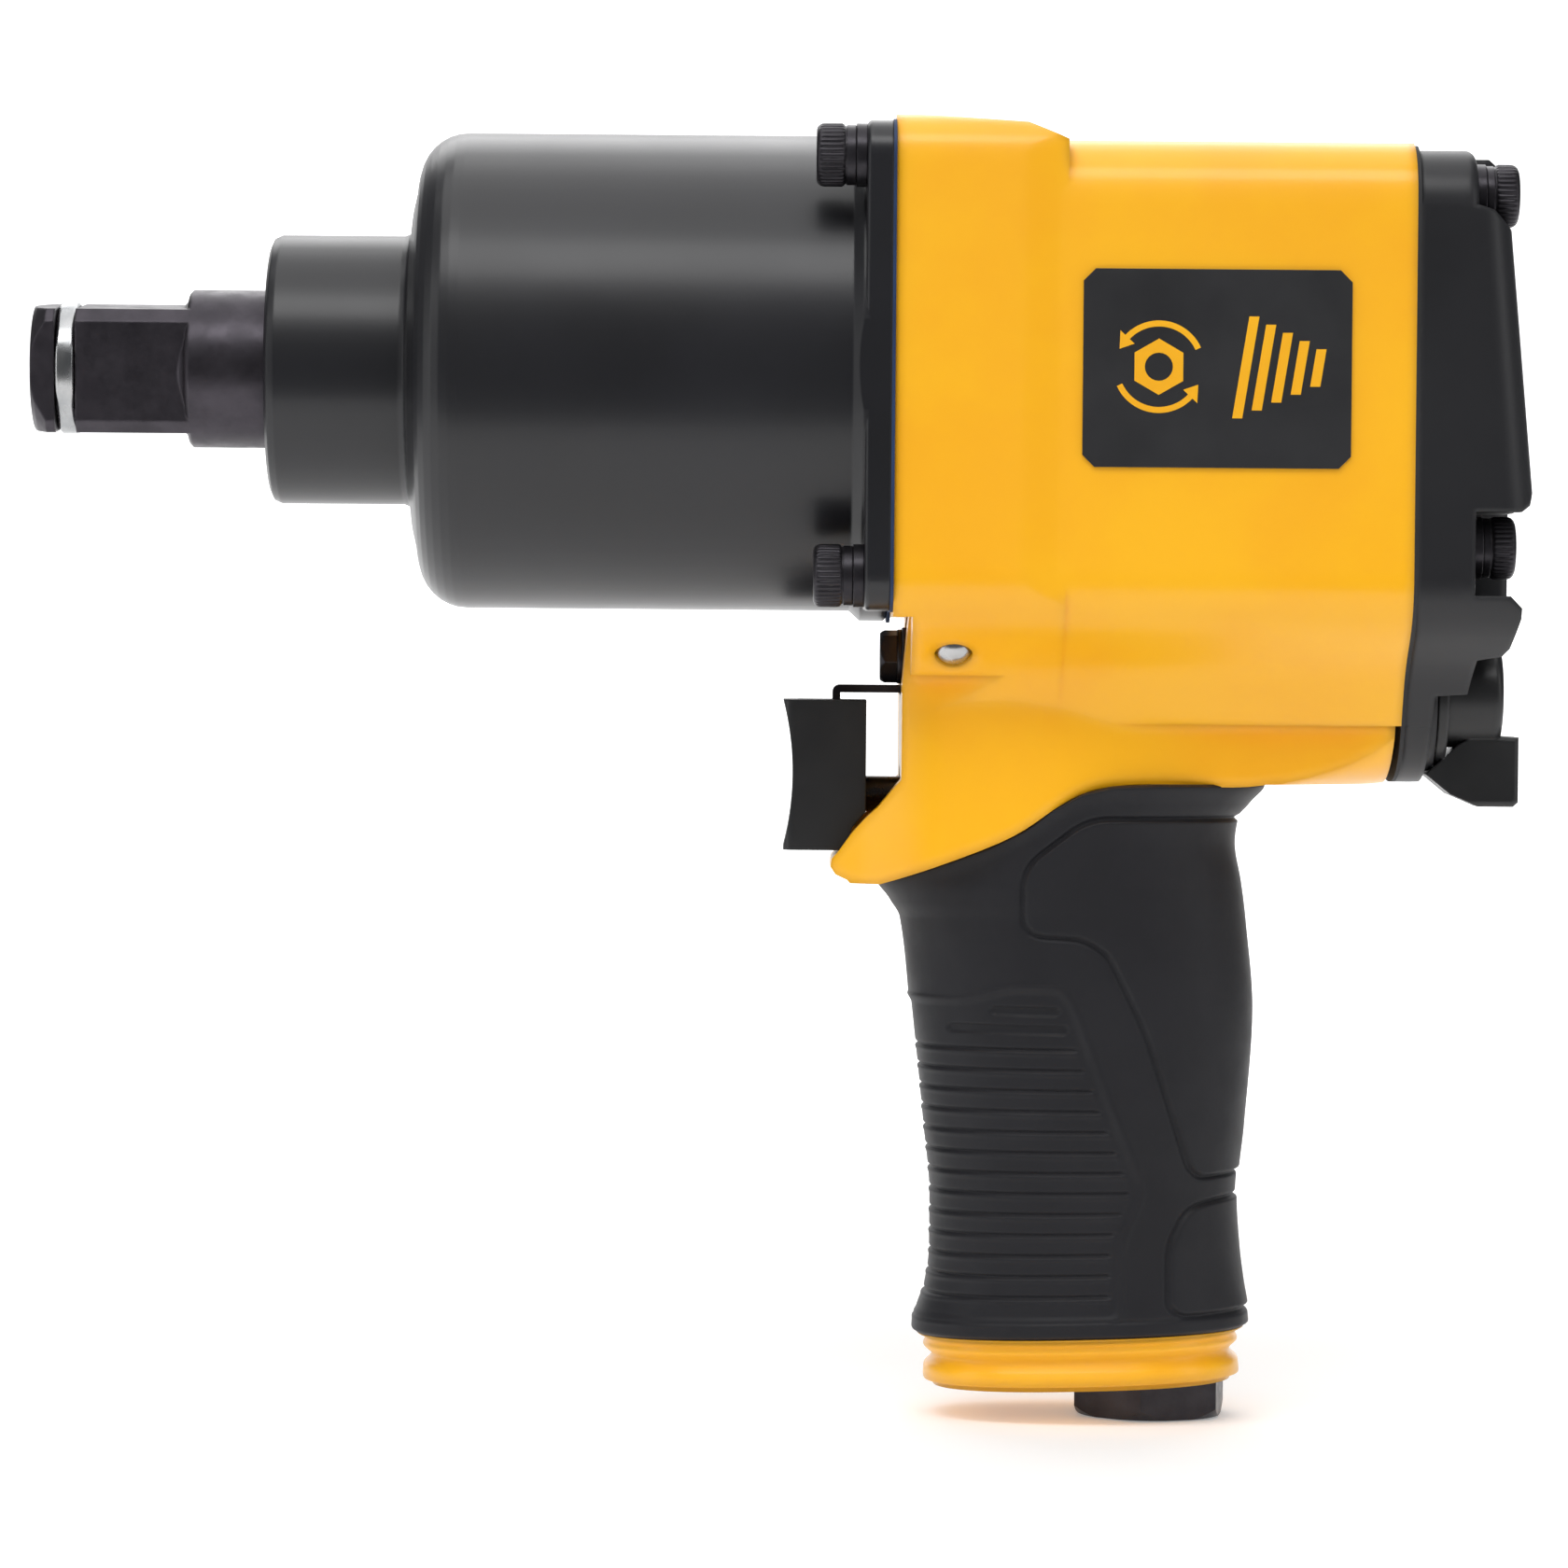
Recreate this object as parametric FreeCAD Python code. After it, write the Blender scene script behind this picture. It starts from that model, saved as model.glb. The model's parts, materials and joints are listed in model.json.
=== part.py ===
import FreeCAD, Part
import math
import os

# Impact wrench with a 3/4 in square drive. Millimetres. The origin is on the drive axis at the foot of
# the square; the drive points to -X, the rear of the tool is +X, the handle hangs down to -Z.

V = FreeCAD.Vector
os.makedirs("parts", exist_ok=True)

# ---- driving dimensions ----
SQUARE_AF = 19.05
SQUARE_TIP_X = -23.6
SQUARE_TURN = 5.5
RING_X0 = -19.7
ANVIL_R = 12.2
CORE_R = 11.0
BUSH_R = 14.5
NOSE_R = 20.75
NOSE_X0, NOSE_X1 = 13.05, 34.8
CASE_R = 36.7
CASE_BORE_R = 32.0
CAVITY_X0 = 40.0
CASE_X1 = 108.4
FLANGE_HALF_Y = 37.6
FLANGE_X0 = 104.5
FRONT_BOLT = 31.5
GASKET_T = 0.5
HOUSE_X0 = CASE_X1 + GASKET_T
HOUSE_X1 = 186.7
REAR_GASKET_T = 0.6
HOUSE_Y = 36.0
HOUSE_TOP = 34.3
FRONT_TOP = 37.7
FRONT_HALF = 37.0
NECK_Y = 21.0
MOTOR_R = 31.0
REAR_BOLT = 26.5
SEAT_X = 196.0
COVER_TOP = 33.2
COLLAR_X1 = 193.0
SCREW_R = 3.0
HEAD_R = 4.75
FRONT_HEAD_L = 6.0
REAR_HEAD_L = 5.0
WASHER_T = 1.6
CAGE_R = 31.0
CAGE_X0, CAGE_X1 = 44.0, 94.0
PLATE_T = 6.0
PIN_R = 3.5
PIN_AT = 25.5
DOG_R = 28.0
DOG_BORE_R = 17.5
DOG_HALF_Y = 22.0
DOG_L = 18.2
ROTOR_R = 22.5
ROTOR_X0, ROTOR_X1 = 119.4, 165.6
LINER_X0, LINER_X1 = 119.0, 166.0
LINER_BORE_R = 25.3
LINER_RISE = 2.5
BEARING_R, BEARING_BORE_R, BEARING_W = 16.0, 7.5, 9.0
VALVE_Z = -48.9
VALVE_R = 8.0
ROD_Z = -65.0
ROD_R = 2.75
STEM_X = 150.4
STEM_R = 1.5
SEAT_Z = -85.5
GRIP_T = 2.4
GRIP_Z1 = -147.6
HEEL_TILT = 1.8
DEFLECT_Z1 = -155.8
INLET_Z1 = -161.0
INLET_R = 7.4
GUIDE_Z = -43.7
DETENT_X = 192.7
DETENT_AT = 9.5


# ---- helpers ----
def box(x0, x1, y0, y1, z0, z1):
    return Part.makeBox(x1 - x0, y1 - y0, z1 - z0, V(x0, y0, z0))


def cyl_x(r, x0, x1, y=0.0, z=0.0):
    return Part.makeCylinder(r, x1 - x0, V(x0, y, z), V(1, 0, 0))


def cyl_y(r, y0, y1, x, z):
    return Part.makeCylinder(r, y1 - y0, V(x, y0, z), V(0, 1, 0))


def cyl_z(r, z0, z1, x=0.0, y=0.0):
    return Part.makeCylinder(r, z1 - z0, V(x, y, z0), V(0, 0, 1))


def ring_x(r1, r0, x0, x1, y=0.0, z=0.0):
    return cyl_x(r1, x0, x1, y, z).cut(cyl_x(r0, x0 - 1, x1 + 1, y, z))


def prism_x(points, x0, x1):
    wire = Part.makePolygon([V(x0, y, z) for y, z in points + points[:1]])
    return Part.Face(wire).extrude(V(x1 - x0, 0, 0))


def prism_y(points, y0, y1):
    wire = Part.makePolygon([V(x, y0, z) for x, z in points + points[:1]])
    return Part.Face(wire).extrude(V(0, y1 - y0, 0))


def prism_z(points, z0, z1):
    wire = Part.makePolygon([V(x, y, z0) for x, y in points + points[:1]])
    return Part.Face(wire).extrude(V(0, 0, z1 - z0))


def smooth_prism_x(half, x0, x1):
    """Extrude a section that is mirrored about y = 0, curved below and closed by a line on top."""
    full = half + [(-y, z) for y, z in reversed(half[:-1])]
    curve = Part.BSplineCurve()
    curve.interpolate([V(x0, y, z) for y, z in full])
    lid = Part.makeLine(V(x0, -half[0][0], half[0][1]), V(x0, half[0][0], half[0][1]))
    return Part.Face(Part.Wire([curve.toShape(), lid])).extrude(V(x1 - x0, 0, 0))


def turned(points):
    """Solid of revolution about the X axis from (x, radius) points."""
    wire = Part.makePolygon([V(x, 0, r) for x, r in points + points[:1]])
    return Part.Face(wire).revolve(V(0, 0, 0), V(1, 0, 0), 360)


def soften(shape, radius, pick):
    """Fillet the edges that pick(edge) accepts."""
    edges = [e for e in shape.Edges if pick(e)]
    return shape.makeFillet(radius, edges)


def bevel(shape, size, pick):
    edges = [e for e in shape.Edges if pick(e)]
    return shape.makeChamfer(size, edges)


def spans(e, axis):
    """True for an edge that runs along one axis only."""
    b = e.BoundBox
    length = {"x": b.XLength, "y": b.YLength, "z": b.ZLength}
    return length[axis] > 0.3 and all(v < 1e-3 for k, v in length.items() if k != axis)


def at(value, target, tol=0.01):
    return abs(value - target) < tol


def flat_at_x(e, x):
    return at(e.BoundBox.XMin, x) and at(e.BoundBox.XMax, x)


def flat_at_z(e, z):
    return at(e.BoundBox.ZMin, z) and at(e.BoundBox.ZMax, z)


def hex_x(af, x0, x1, y, z, turn=0.0):
    r = af / math.sqrt(3)
    corners = []
    for k in range(6):
        a = math.radians(60 * k + turn)
        corners.append((y + r * math.cos(a), z + r * math.sin(a)))
    return prism_x(corners, x0, x1)


def fuse(shapes):
    return shapes[0].multiFuse(shapes[1:]).removeSplitter()


def save(name, shapes):
    """Write one node. A list of solids is kept as separate solids."""
    if isinstance(shapes, list):
        solids = [s for shape in shapes for s in shape.Solids]
        shape = Part.makeCompound(solids)
    else:
        shape = shapes.Solids[0] if len(shapes.Solids) == 1 else shapes
    shape.exportStep("parts/" + name + ".step")
    print(name, len(shape.Solids), shape.isValid())


def corners(d):
    return [(sy * d, sz * d) for sy in (-1, 1) for sz in (-1, 1)]


def cap_screw(tip_x, seat_x, y, z, head_l):
    """Socket cap screw. The head sits on seat_x, on the side away from tip_x."""
    out = 1 if seat_x > tip_x else -1
    top = seat_x + out * head_l
    ends = sorted((seat_x, top))
    head = bevel(cyl_x(HEAD_R, ends[0], ends[1], y, z), 0.5, lambda e: flat_at_x(e, top))
    sock = sorted((top, top - out * 3.2))
    head = head.cut(hex_x(5.0, sock[0], sock[1], y, z, 30))
    shank = sorted((tip_x, seat_x + out))
    shank = cyl_x(SCREW_R, shank[0], shank[1], y, z)
    shank = bevel(shank, 0.6, lambda e: flat_at_x(e, tip_x))
    return fuse([head, shank])


def spring_washer(x0, y, z):
    ring = ring_x(HEAD_R, SCREW_R + 0.15, x0, x0 + WASHER_T, y, z)
    gap = box(x0 - 1, x0 + WASHER_T + 1, -0.4, 0.4, 2, 6)
    gap.rotate(V(x0, 0, 0), V(0, 0, 1), 18)
    gap.translate(V(0, y, z))
    return ring.cut(gap)


def oval(cx, a, b, z, tilt=0.0, power=2.35, n=36):
    """Closed smooth outline between an ellipse and a rounded rectangle; tilt raises its rear end."""
    pts = []
    for k in range(n):
        t = 2 * math.pi * k / n
        c = math.cos(t)
        s = math.sin(t)
        x = cx + a * math.copysign(abs(c) ** (2 / power), c)
        y = b * math.copysign(abs(s) ** (2 / power), s)
        pts.append(V(x, y, z + (x - cx) * math.tan(math.radians(tilt))))
    curve = Part.BSplineCurve()
    curve.interpolate(pts, PeriodicFlag=True)
    return Part.Wire([curve.toShape()])


# Handle outline by height: front x, rear x, half width.
HANDLE = [
    (-56.0, 108.0, 166.5, 20.6), (-63.2, 107.8, 166.9, 20.6), (-66.0, 107.8, 165.0, 20.3),
    (-68.7, 107.8, 162.9, 20.0), (-72.0, 107.6, 162.5, 19.7), (-78.0, 107.7, 163.5, 19.4),
    (-81.4, 109.4, 164.0, 19.3), (-84.0, 110.9, 164.3, 19.2), (-98.0, 112.6, 165.5, 19.2),
    (-115.6, 114.5, 164.4, 19.0), (-127.2, 115.6, 163.4, 18.7), (-135.0, 115.6, 163.9, 18.8),
    (-140.5, 114.9, 164.6, 19.2), (-144.6, 113.6, 165.3, 19.8), (GRIP_Z1, 113.4, 165.6, 20.0),
]


def handle(inset):
    wires = []
    for z, front, rear, half in HANDLE:
        tilt = HEEL_TILT * max(0.0, (-110.0 - z) / (-110.0 - GRIP_Z1))
        wires.append(oval((front + rear) / 2, (rear - front) / 2 - inset, half - inset, z, tilt))
    return Part.makeLoft(wires, True, False)


# Parting line between the painted neck and the rubber, seen from the side.
PARTING = [
    (107.6, -78.5), (113.0, -76.7), (118.7, -74.6), (124.3, -72.4), (129.6, -69.7),
    (134.0, -66.6), (138.4, -64.2), (143.0, -63.1), (150.0, -62.8), (166.6, -62.8),
]


def below_parting():
    curve = Part.BSplineCurve()
    curve.interpolate([V(x, -60, z) for x, z in PARTING])
    front = V(60, -60, -78.5)
    rear = V(230, -60, -62.8)
    loop = [
        Part.makeLine(front, V(PARTING[0][0], -60, PARTING[0][1])),
        curve.toShape(),
        Part.makeLine(V(PARTING[-1][0], -60, PARTING[-1][1]), rear),
        Part.makeLine(rear, V(230, -60, -190)),
        Part.makeLine(V(230, -60, -190), V(60, -60, -190)),
        Part.makeLine(V(60, -60, -190), front),
    ]
    return Part.Face(Part.Wire(loop)).extrude(V(0, 120, 0))


# ---- hammer case ----
def make_hammer_case():
    arc = []
    for k in range(9):
        a = math.radians(90 * k / 8)
        arc.append((43.4 - 7.3 * math.cos(a), 29.4 + 7.3 * math.sin(a)))
    body = turned([
        (NOSE_X0, 12.9), (NOSE_X0, NOSE_R - 1.6), (NOSE_X0 + 0.5, NOSE_R - 0.5), (NOSE_X0 + 1.6, NOSE_R),
        (NOSE_X1 - 1.2, NOSE_R), (NOSE_X1 - 0.35, NOSE_R + 0.35), (NOSE_X1, NOSE_R + 1.2), (35.3, 26.0),
    ] + arc + [
        (102.6, CASE_R), (104.2, 38.2), (107.9, 38.2), (CASE_X1, 37.6), (CASE_X1, CASE_BORE_R),
        (CAVITY_X0, CASE_BORE_R), (CAVITY_X0, BUSH_R), (14.6, BUSH_R), (14.6, 12.9),
    ])
    body = body.common(box(0, 120, -FLANGE_HALF_Y, FLANGE_HALF_Y, -60, 60))
    flange = box(FLANGE_X0, CASE_X1, -FLANGE_HALF_Y, FLANGE_HALF_Y, -CASE_R, CASE_R)
    flange = soften(flange, 5.4, lambda e: spans(e, "x"))
    flange = soften(flange, 0.8, lambda e: flat_at_x(e, FLANGE_X0))
    flange = flange.cut(cyl_x(CASE_BORE_R, FLANGE_X0 - 1, CASE_X1 + 1))
    case = fuse([body, flange])
    for y, z in corners(FRONT_BOLT):
        case = case.cut(cyl_x(SCREW_R + 0.3, FLANGE_X0 - 3, CASE_X1 + 1, y, z))
        case = case.cut(cyl_x(5.6, FLANGE_X0 - 9, FLANGE_X0, y, z))
    return case


save("hammer_case", make_hammer_case())
save("anvil_bushing", ring_x(BUSH_R, ANVIL_R + 0.04, 15.0, 39.6))

gasket = box(CASE_X1, HOUSE_X0, -FLANGE_HALF_Y, FLANGE_HALF_Y, -CASE_R - 0.2, CASE_R + 0.2)
gasket = soften(gasket, 5.4, lambda e: spans(e, "x"))
rim = cyl_x(38.5, CASE_X1, HOUSE_X0).common(box(100, 120, -30, 30, -60, 60))
gasket = fuse([gasket, rim])
gasket = gasket.cut(cyl_x(CASE_BORE_R, CASE_X1 - 1, HOUSE_X0 + 1))
for y, z in corners(FRONT_BOLT):
    gasket = gasket.cut(cyl_x(SCREW_R + 0.3, CASE_X1 - 1, HOUSE_X0 + 1, y, z))
save("case_gasket", gasket)

front_seat = FLANGE_X0 - WASHER_T
save("front_cap_screws", [cap_screw(front_seat + 22, front_seat, y, z, FRONT_HEAD_L)
                          for y, z in corners(FRONT_BOLT)])
save("front_spring_washers", [spring_washer(front_seat, y, z) for y, z in corners(FRONT_BOLT)])


# ---- anvil ----
def make_anvil():
    half = SQUARE_AF / 2
    bar = box(SQUARE_TIP_X, 1.2, -half, half, -half, half)
    bar = bevel(bar, 1.85, lambda e: spans(e, "x"))
    bar = bar.common(turned([
        (SQUARE_TIP_X, 0), (SQUARE_TIP_X, 9.6), (-22.9, 10.6), (-21.3, 12.1), (-20.5, 14),
        (-1.6, 14), (0.8, 12.2), (1.2, 12.2), (1.2, 0),
    ]))
    bar = bar.cut(ring_x(16, 6.9, RING_X0 - 0.15, RING_X0 + 3.05))
    bar.rotate(V(0, 0, 0), V(1, 0, 0), SQUARE_TURN)
    root = []
    for k in range(7):
        a = math.radians(90 * k / 6)
        root.append((-3.0 + 3.4 * math.sin(a), 9.0 + 2.7 * (1 - math.cos(a))))
    shaft = turned([(-3.0, 0)] + root + [
        (0.9, ANVIL_R), (40.4, ANVIL_R), (40.4, 15.4), (43.5, 15.4),
        (43.5, CORE_R), (87.6, CORE_R), (87.6, 6.5), (91.8, 6.5), (92.2, 6.1), (92.2, 0),
    ])
    jaws = []
    for x0, side in ((51.2, -1), (70.2, 1)):
        jaw = cyl_x(15.5, x0, x0 + 16.6).common(box(x0, x0 + 16.6, -5, 5, 0, 20))
        if side < 0:
            jaw.rotate(V(0, 0, 0), V(1, 0, 0), 180)
        jaws.append(jaw)
    return fuse([bar, shaft] + jaws)


save("anvil", make_anvil())
split = ring_x(10.25, 8.65, RING_X0, RING_X0 + 2.9)
split = soften(split, 0.6, lambda e: e.BoundBox.YLength > 18)
split = split.cut(box(RING_X0 - 1, RING_X0 + 4, 2.0, 4.6, 6, 12))
save("friction_ring", split)
o_ring = Part.makeTorus(7.76, 0.86, V(RING_X0 + 1.45, 0, 0), V(1, 0, 0))
save("friction_o_ring", o_ring)


# ---- hammer mechanism ----
def spline(x0, x1):
    teeth = [cyl_x(6.2, x0, x1)]
    for k in range(4):
        tooth = box(x0, x1, -1.1, 1.1, -7.4, 7.4)
        tooth.rotate(V(0, 0, 0), V(1, 0, 0), 45 * k)
        teeth.append(tooth)
    return fuse(teeth).common(cyl_x(7.3, x0, x1))


def make_cage():
    front = ring_x(CAGE_R, 13.4, CAGE_X0, CAGE_X0 + PLATE_T)
    rear = cyl_x(CAGE_R, CAGE_X1 - PLATE_T, CAGE_X1)
    hub = cyl_x(11.5, CAGE_X1 - 1, 106.4)
    wall = ring_x(CAGE_R, 28.2, CAGE_X0 + 1, CAGE_X1 - 1)
    webs = []
    for sign in (-1, 1):
        reach = 40 * math.tan(math.radians(22))
        wedge = prism_x([(0, 0), (sign * 40, reach), (sign * 40, -reach)], CAGE_X0 + 1, CAGE_X1 - 1)
        webs.append(wall.common(wedge))
    cage = fuse([front, rear, hub] + webs)
    cage = bevel(cage, 0.8, lambda e: flat_at_x(e, CAGE_X0) and e.BoundBox.YLength > 60)
    cage = bevel(cage, 0.8, lambda e: flat_at_x(e, CAGE_X1) and e.BoundBox.YLength > 60)
    cage = cage.cut(cyl_x(6.56, CAGE_X1 - PLATE_T - 1, 92.6))
    cage = cage.cut(spline(94.6, 107))
    for sign in (-1, 1):
        cage = cage.cut(cyl_x(PIN_R, CAGE_X0 - 1, CAGE_X1 + 1, 0, sign * PIN_AT))
    return cage


def make_dog(x0, flip):
    """Rocking hammer. It hangs on one cage pin; the other pin sits in its wide notch and stops it."""
    x1 = x0 + DOG_L
    dog = cyl_x(DOG_R, x0, x1).common(box(x0, x1, -DOG_HALF_Y, DOG_HALF_Y, -40, 40))
    dog = soften(dog, 1.2, lambda e: spans(e, "x"))
    lug = []
    for sign in (-1, 1):
        a0 = math.radians(40)
        a1 = math.radians(66)
        near = (sign * 30 * math.sin(a0), -30 * math.cos(a0))
        far = (sign * 30 * math.sin(a1), -30 * math.cos(a1))
        lug.append(prism_x([(0, 0), near, far], x0, x1))
    keep = ring_x(DOG_BORE_R + 0.5, 13.6, x0, x1)
    dog = dog.cut(cyl_x(DOG_BORE_R, x0 - 1, x1 + 1))
    dog = fuse([dog, keep.common(lug[1])])
    dog = dog.cut(cyl_x(PIN_R + 0.05, x0 - 1, x1 + 1, 0, PIN_AT))
    dog = dog.cut(box(x0 - 1, x1 + 1, -PIN_R + 0.2, PIN_R - 0.2, PIN_AT, 40))
    dog = dog.cut(box(x0 - 1, x1 + 1, -8.4, 8.4, -40, -21.6))
    if flip:
        dog.rotate(V(0, 0, 0), V(1, 0, 0), 180)
    return dog


save("hammer_cage", make_cage())
save("hammer_pins", [cyl_x(PIN_R, CAGE_X0 + 0.3, CAGE_X1 - 0.3, 0, s * PIN_AT) for s in (-1, 1)])
save("front_hammer_dog", make_dog(50.4, False))
save("rear_hammer_dog", make_dog(69.3, True))


# ---- air motor ----
def make_rotor():
    body = cyl_x(ROTOR_R, ROTOR_X0, ROTOR_X1)
    for k in range(6):
        slot = box(ROTOR_X0 - 1, ROTOR_X1 + 1, -1.6, 1.6, 12.5, 30)
        slot.rotate(V(0, 0, 0), V(1, 0, 0), 60 * k + 30)
        body = body.cut(slot)
    shaft = turned([
        (106.6, 0), (106.6, 7.3), (109.1, 7.3), (109.1, 7.5), (118.1, 7.5), (118.1, 8.6), (120.0, 8.6),
        (165.0, 8.6), (166.9, 8.6), (166.9, 7.5), (176.6, 7.5), (177.0, 7.1), (177.0, 0),
    ])
    return fuse([spline(95.0, 106.8), shaft, body])


def vanes():
    blades = []
    for k in range(6):
        blade = box(ROTOR_X0 + 0.1, ROTOR_X1 - 0.1, -1.6, 1.4, 12.5, 22.2)
        blade.rotate(V(0, 0, 0), V(1, 0, 0), 60 * k + 30)
        blades.append(blade)
    return blades


def bearing(x0):
    """Deep-groove ball bearing as outer ring, balls, inner ring."""
    mid = x0 + BEARING_W / 2
    track = Part.makeTorus(11.75, 2.34, V(mid, 0, 0), V(1, 0, 0))
    outer = ring_x(BEARING_R, 13.4, x0, x0 + BEARING_W).cut(track)
    inner = ring_x(10.1, BEARING_BORE_R, x0, x0 + BEARING_W).cut(track)
    balls = []
    for k in range(9):
        a = 2 * math.pi * k / 9
        balls.append(Part.makeSphere(2.3, V(mid, 11.75 * math.cos(a), 11.75 * math.sin(a))))
    return outer, balls, inner


def make_cylinder():
    liner = cyl_x(MOTOR_R, LINER_X0, LINER_X1)
    liner = liner.cut(cyl_x(LINER_BORE_R, LINER_X0 - 1, LINER_X1 + 1, 0, LINER_RISE))
    for x in (124.0, 130.0):
        for sign in (-1, 1):
            liner = liner.cut(cyl_z(2.0, -34, -14, x, sign * 9))
    for x in (146.0, 152.0, 158.0):
        for sign in (-1, 1):
            liner = liner.cut(cyl_z(1.6, -34, -14, x, sign * 6))
    return liner.cut(cyl_x(1.5, LINER_X0 - 1, LINER_X1 + 1, 0, -27.5))


dowel = cyl_x(1.5, 113.0, 172.0, 0, -27.5)
front_plate = fuse([cyl_x(33.5, HOUSE_X0, 111.9), cyl_x(MOTOR_R, 111.0, LINER_X0)])
front_plate = front_plate.cut(cyl_x(BEARING_R, HOUSE_X0 - 1, 118.1)).cut(cyl_x(9.2, 118, 121))
rear_plate = cyl_x(MOTOR_R, LINER_X1, 176.0)
rear_plate = rear_plate.cut(cyl_x(BEARING_R, 166.9, 177)).cut(cyl_x(9.2, 165, 168))
for sign in (-1, 1):
    rear_plate = rear_plate.cut(cyl_z(2.5, -33, -20, 171.0, sign * 7))
    rear_plate = rear_plate.cut(cyl_x(2.5, 165, 171.0, sign * 7, -20))
save("rotor", make_rotor())
save("rotor_vanes", vanes())
save("motor_cylinder", make_cylinder())
save("cylinder_dowel", dowel)
save("front_end_plate", front_plate.cut(dowel))
save("rear_end_plate", rear_plate.cut(dowel))
for name, x0 in (("front", 109.1), ("rear", 166.9)):
    outer, balls, inner = bearing(x0)
    save(name + "_bearing_outer", outer)
    save(name + "_bearing_balls", balls)
    save(name + "_bearing_inner", inner)


# ---- motor housing with the handle core ----
# Lower section at the rear of the housing, shared by housing, gasket and cover: half width by height.
REAR_U = [(21.4, -36.0), (21.0, -43.0), (20.5, -48.0), (19.2, -52.6), (16.4, -56.8), (11.8, -60.2),
          (6.2, -62.0), (0.0, -62.5)]
# Lower section of the neck further forward.
NECK_U = [(NECK_Y + 3, -36.0), (NECK_Y, -46.0), (NECK_Y, -54.0), (NECK_Y, -59.0), (NECK_Y - 0.6, -63.0),
          (NECK_Y - 2.6, -65.6), (NECK_Y - 8.0, -66.4), (0.0, -66.6)]
# Sides of the barrel flowing in towards the neck: half width by height.
FLARE = [(HOUSE_Y, -31.0), (35.75, -33.5), (34.5, -36.6), (31.3, -40.0), (26.8, -43.2), (23.2, -46.6),
         (20.9, -50.2), (19.0, -53.6)]
# Waste beside the front band where it narrows to the barrel, in plan.
FRONT_FLARE = [(128.0, FRONT_HALF), (134.6, HOUSE_Y - 0.2), (140.0, HOUSE_Y - 0.2), (140.0, 50.0),
               (128.0, 50.0)]
# Waste beside the neck near the finger opening, in plan.
NECK_SHAVE = [(105, 17), (112, 18.2), (116, 20.3), (121, 21.6), (127, 24.0), (133, 29.0), (133, 60),
              (105, 60)]
# Steel ball plug at the end of the cross drilling.
PLUG_AT = V(118.2, -27.0, -43.1)
PLUG_AXIS = V(0, math.cos(math.radians(54)), math.sin(math.radians(54)))


def barrel_block(x0, x1, top, corner, half=HOUSE_Y):
    """Box with rounded top corners whose sides flow inwards to the neck."""
    curve = []
    for y, z in FLARE:
        curve.append((y + (half - HOUSE_Y) * (z - FLARE[-1][1]) / (FLARE[0][1] - FLARE[-1][1]), z))
    sides = []
    for sign in (1, -1):
        spline = Part.BSplineCurve()
        spline.interpolate([V(x0, sign * y, z) for y, z in curve])
        sides.append(spline.toShape())
    (y0, z0), (y1, z1) = curve[0], curve[-1]
    wire = Part.Wire(Part.__sortEdges__(sides + [
        Part.makeLine(V(x0, y0, z0), V(x0, y0, top)), Part.makeLine(V(x0, y0, top), V(x0, -y0, top)),
        Part.makeLine(V(x0, -y0, top), V(x0, -y0, z0)), Part.makeLine(V(x0, -y1, z1), V(x0, y1, z1)),
    ]))
    block = Part.Face(wire).extrude(V(x1 - x0, 0, 0))
    return soften(block, corner, lambda e: spans(e, "x") and at(e.BoundBox.ZMax, top))


def neck_block():
    side = prism_y([
        (111.7, -37.0), (110.7, -48.0), (110.7, -62.4), (109.7, -63.6), (107.4, -66.5), (105.3, -68.5),
        (103.4, -70.6), (101.3, -73.6), (100.2, -74.8), (100.0, -76.0), (100.8, -77.2), (102.6, -78.0),
        (106.0, -82.0), (150.0, -82.0), (HOUSE_X1 - 1.2, -62.6), (HOUSE_X1, -37.0),
    ], -60, 60)
    half = [(99.0, 10.2), (101.0, 11.4), (104.0, 13.0), (108.0, 15.6), (112.0, 18.2), (116.0, 20.2),
            (121.0, 20.9), (127.0, NECK_Y), (HOUSE_X1 + 5, NECK_Y)]
    edge = Part.BSplineCurve()
    edge.interpolate([V(x, y, -100) for x, y in half])
    back = Part.BSplineCurve()
    back.interpolate([V(x, -y, -100) for x, y in half])
    first, last = half[0], half[-1]
    plan = Part.Face(Part.Wire([
        edge.toShape(),
        Part.makeLine(V(last[0], last[1], -100), V(last[0], -last[1], -100)),
        back.toShape(),
        Part.makeLine(V(first[0], -first[1], -100), V(first[0], first[1], -100)),
    ]))
    neck = side.common(plan.extrude(V(0, 0, 80)))
    rings = []
    for x, half in ((148.0, NECK_U), (HOUSE_X1 + 0.2, REAR_U)):
        full = half + [(-y, z) for y, z in reversed(half[:-1])]
        curve = Part.BSplineCurve()
        curve.interpolate([V(x, y, z) for y, z in full])
        lid = Part.makeLine(V(x, -half[0][0], half[0][1]), V(x, half[0][0], half[0][1]))
        rings.append(Part.Wire([curve.toShape(), lid]))
    stern = Part.makeLoft(rings, True, True)
    return fuse([neck.common(box(80, 148, -40, 40, -90, -30)), neck.common(stern)])


def front_band():
    """Taller, wider band of the housing behind the case flange, falling away to the barrel."""
    band = barrel_block(HOUSE_X0, 134.6, FRONT_TOP, 6.5, FRONT_HALF)
    band = band.cut(prism_y([
        (HOUSE_X0 - 1, 50), (HOUSE_X0 - 1, FRONT_TOP), (112.3, FRONT_TOP), (128.6, FRONT_TOP - 1.2),
        (134.6, HOUSE_TOP - 0.4), (140, HOUSE_TOP - 0.4), (140, 50),
    ], -60, 60))
    for sign in (-1, 1):
        band = band.cut(prism_z([(x, sign * y) for x, y in FRONT_FLARE], -60, 60))
    return band


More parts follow.
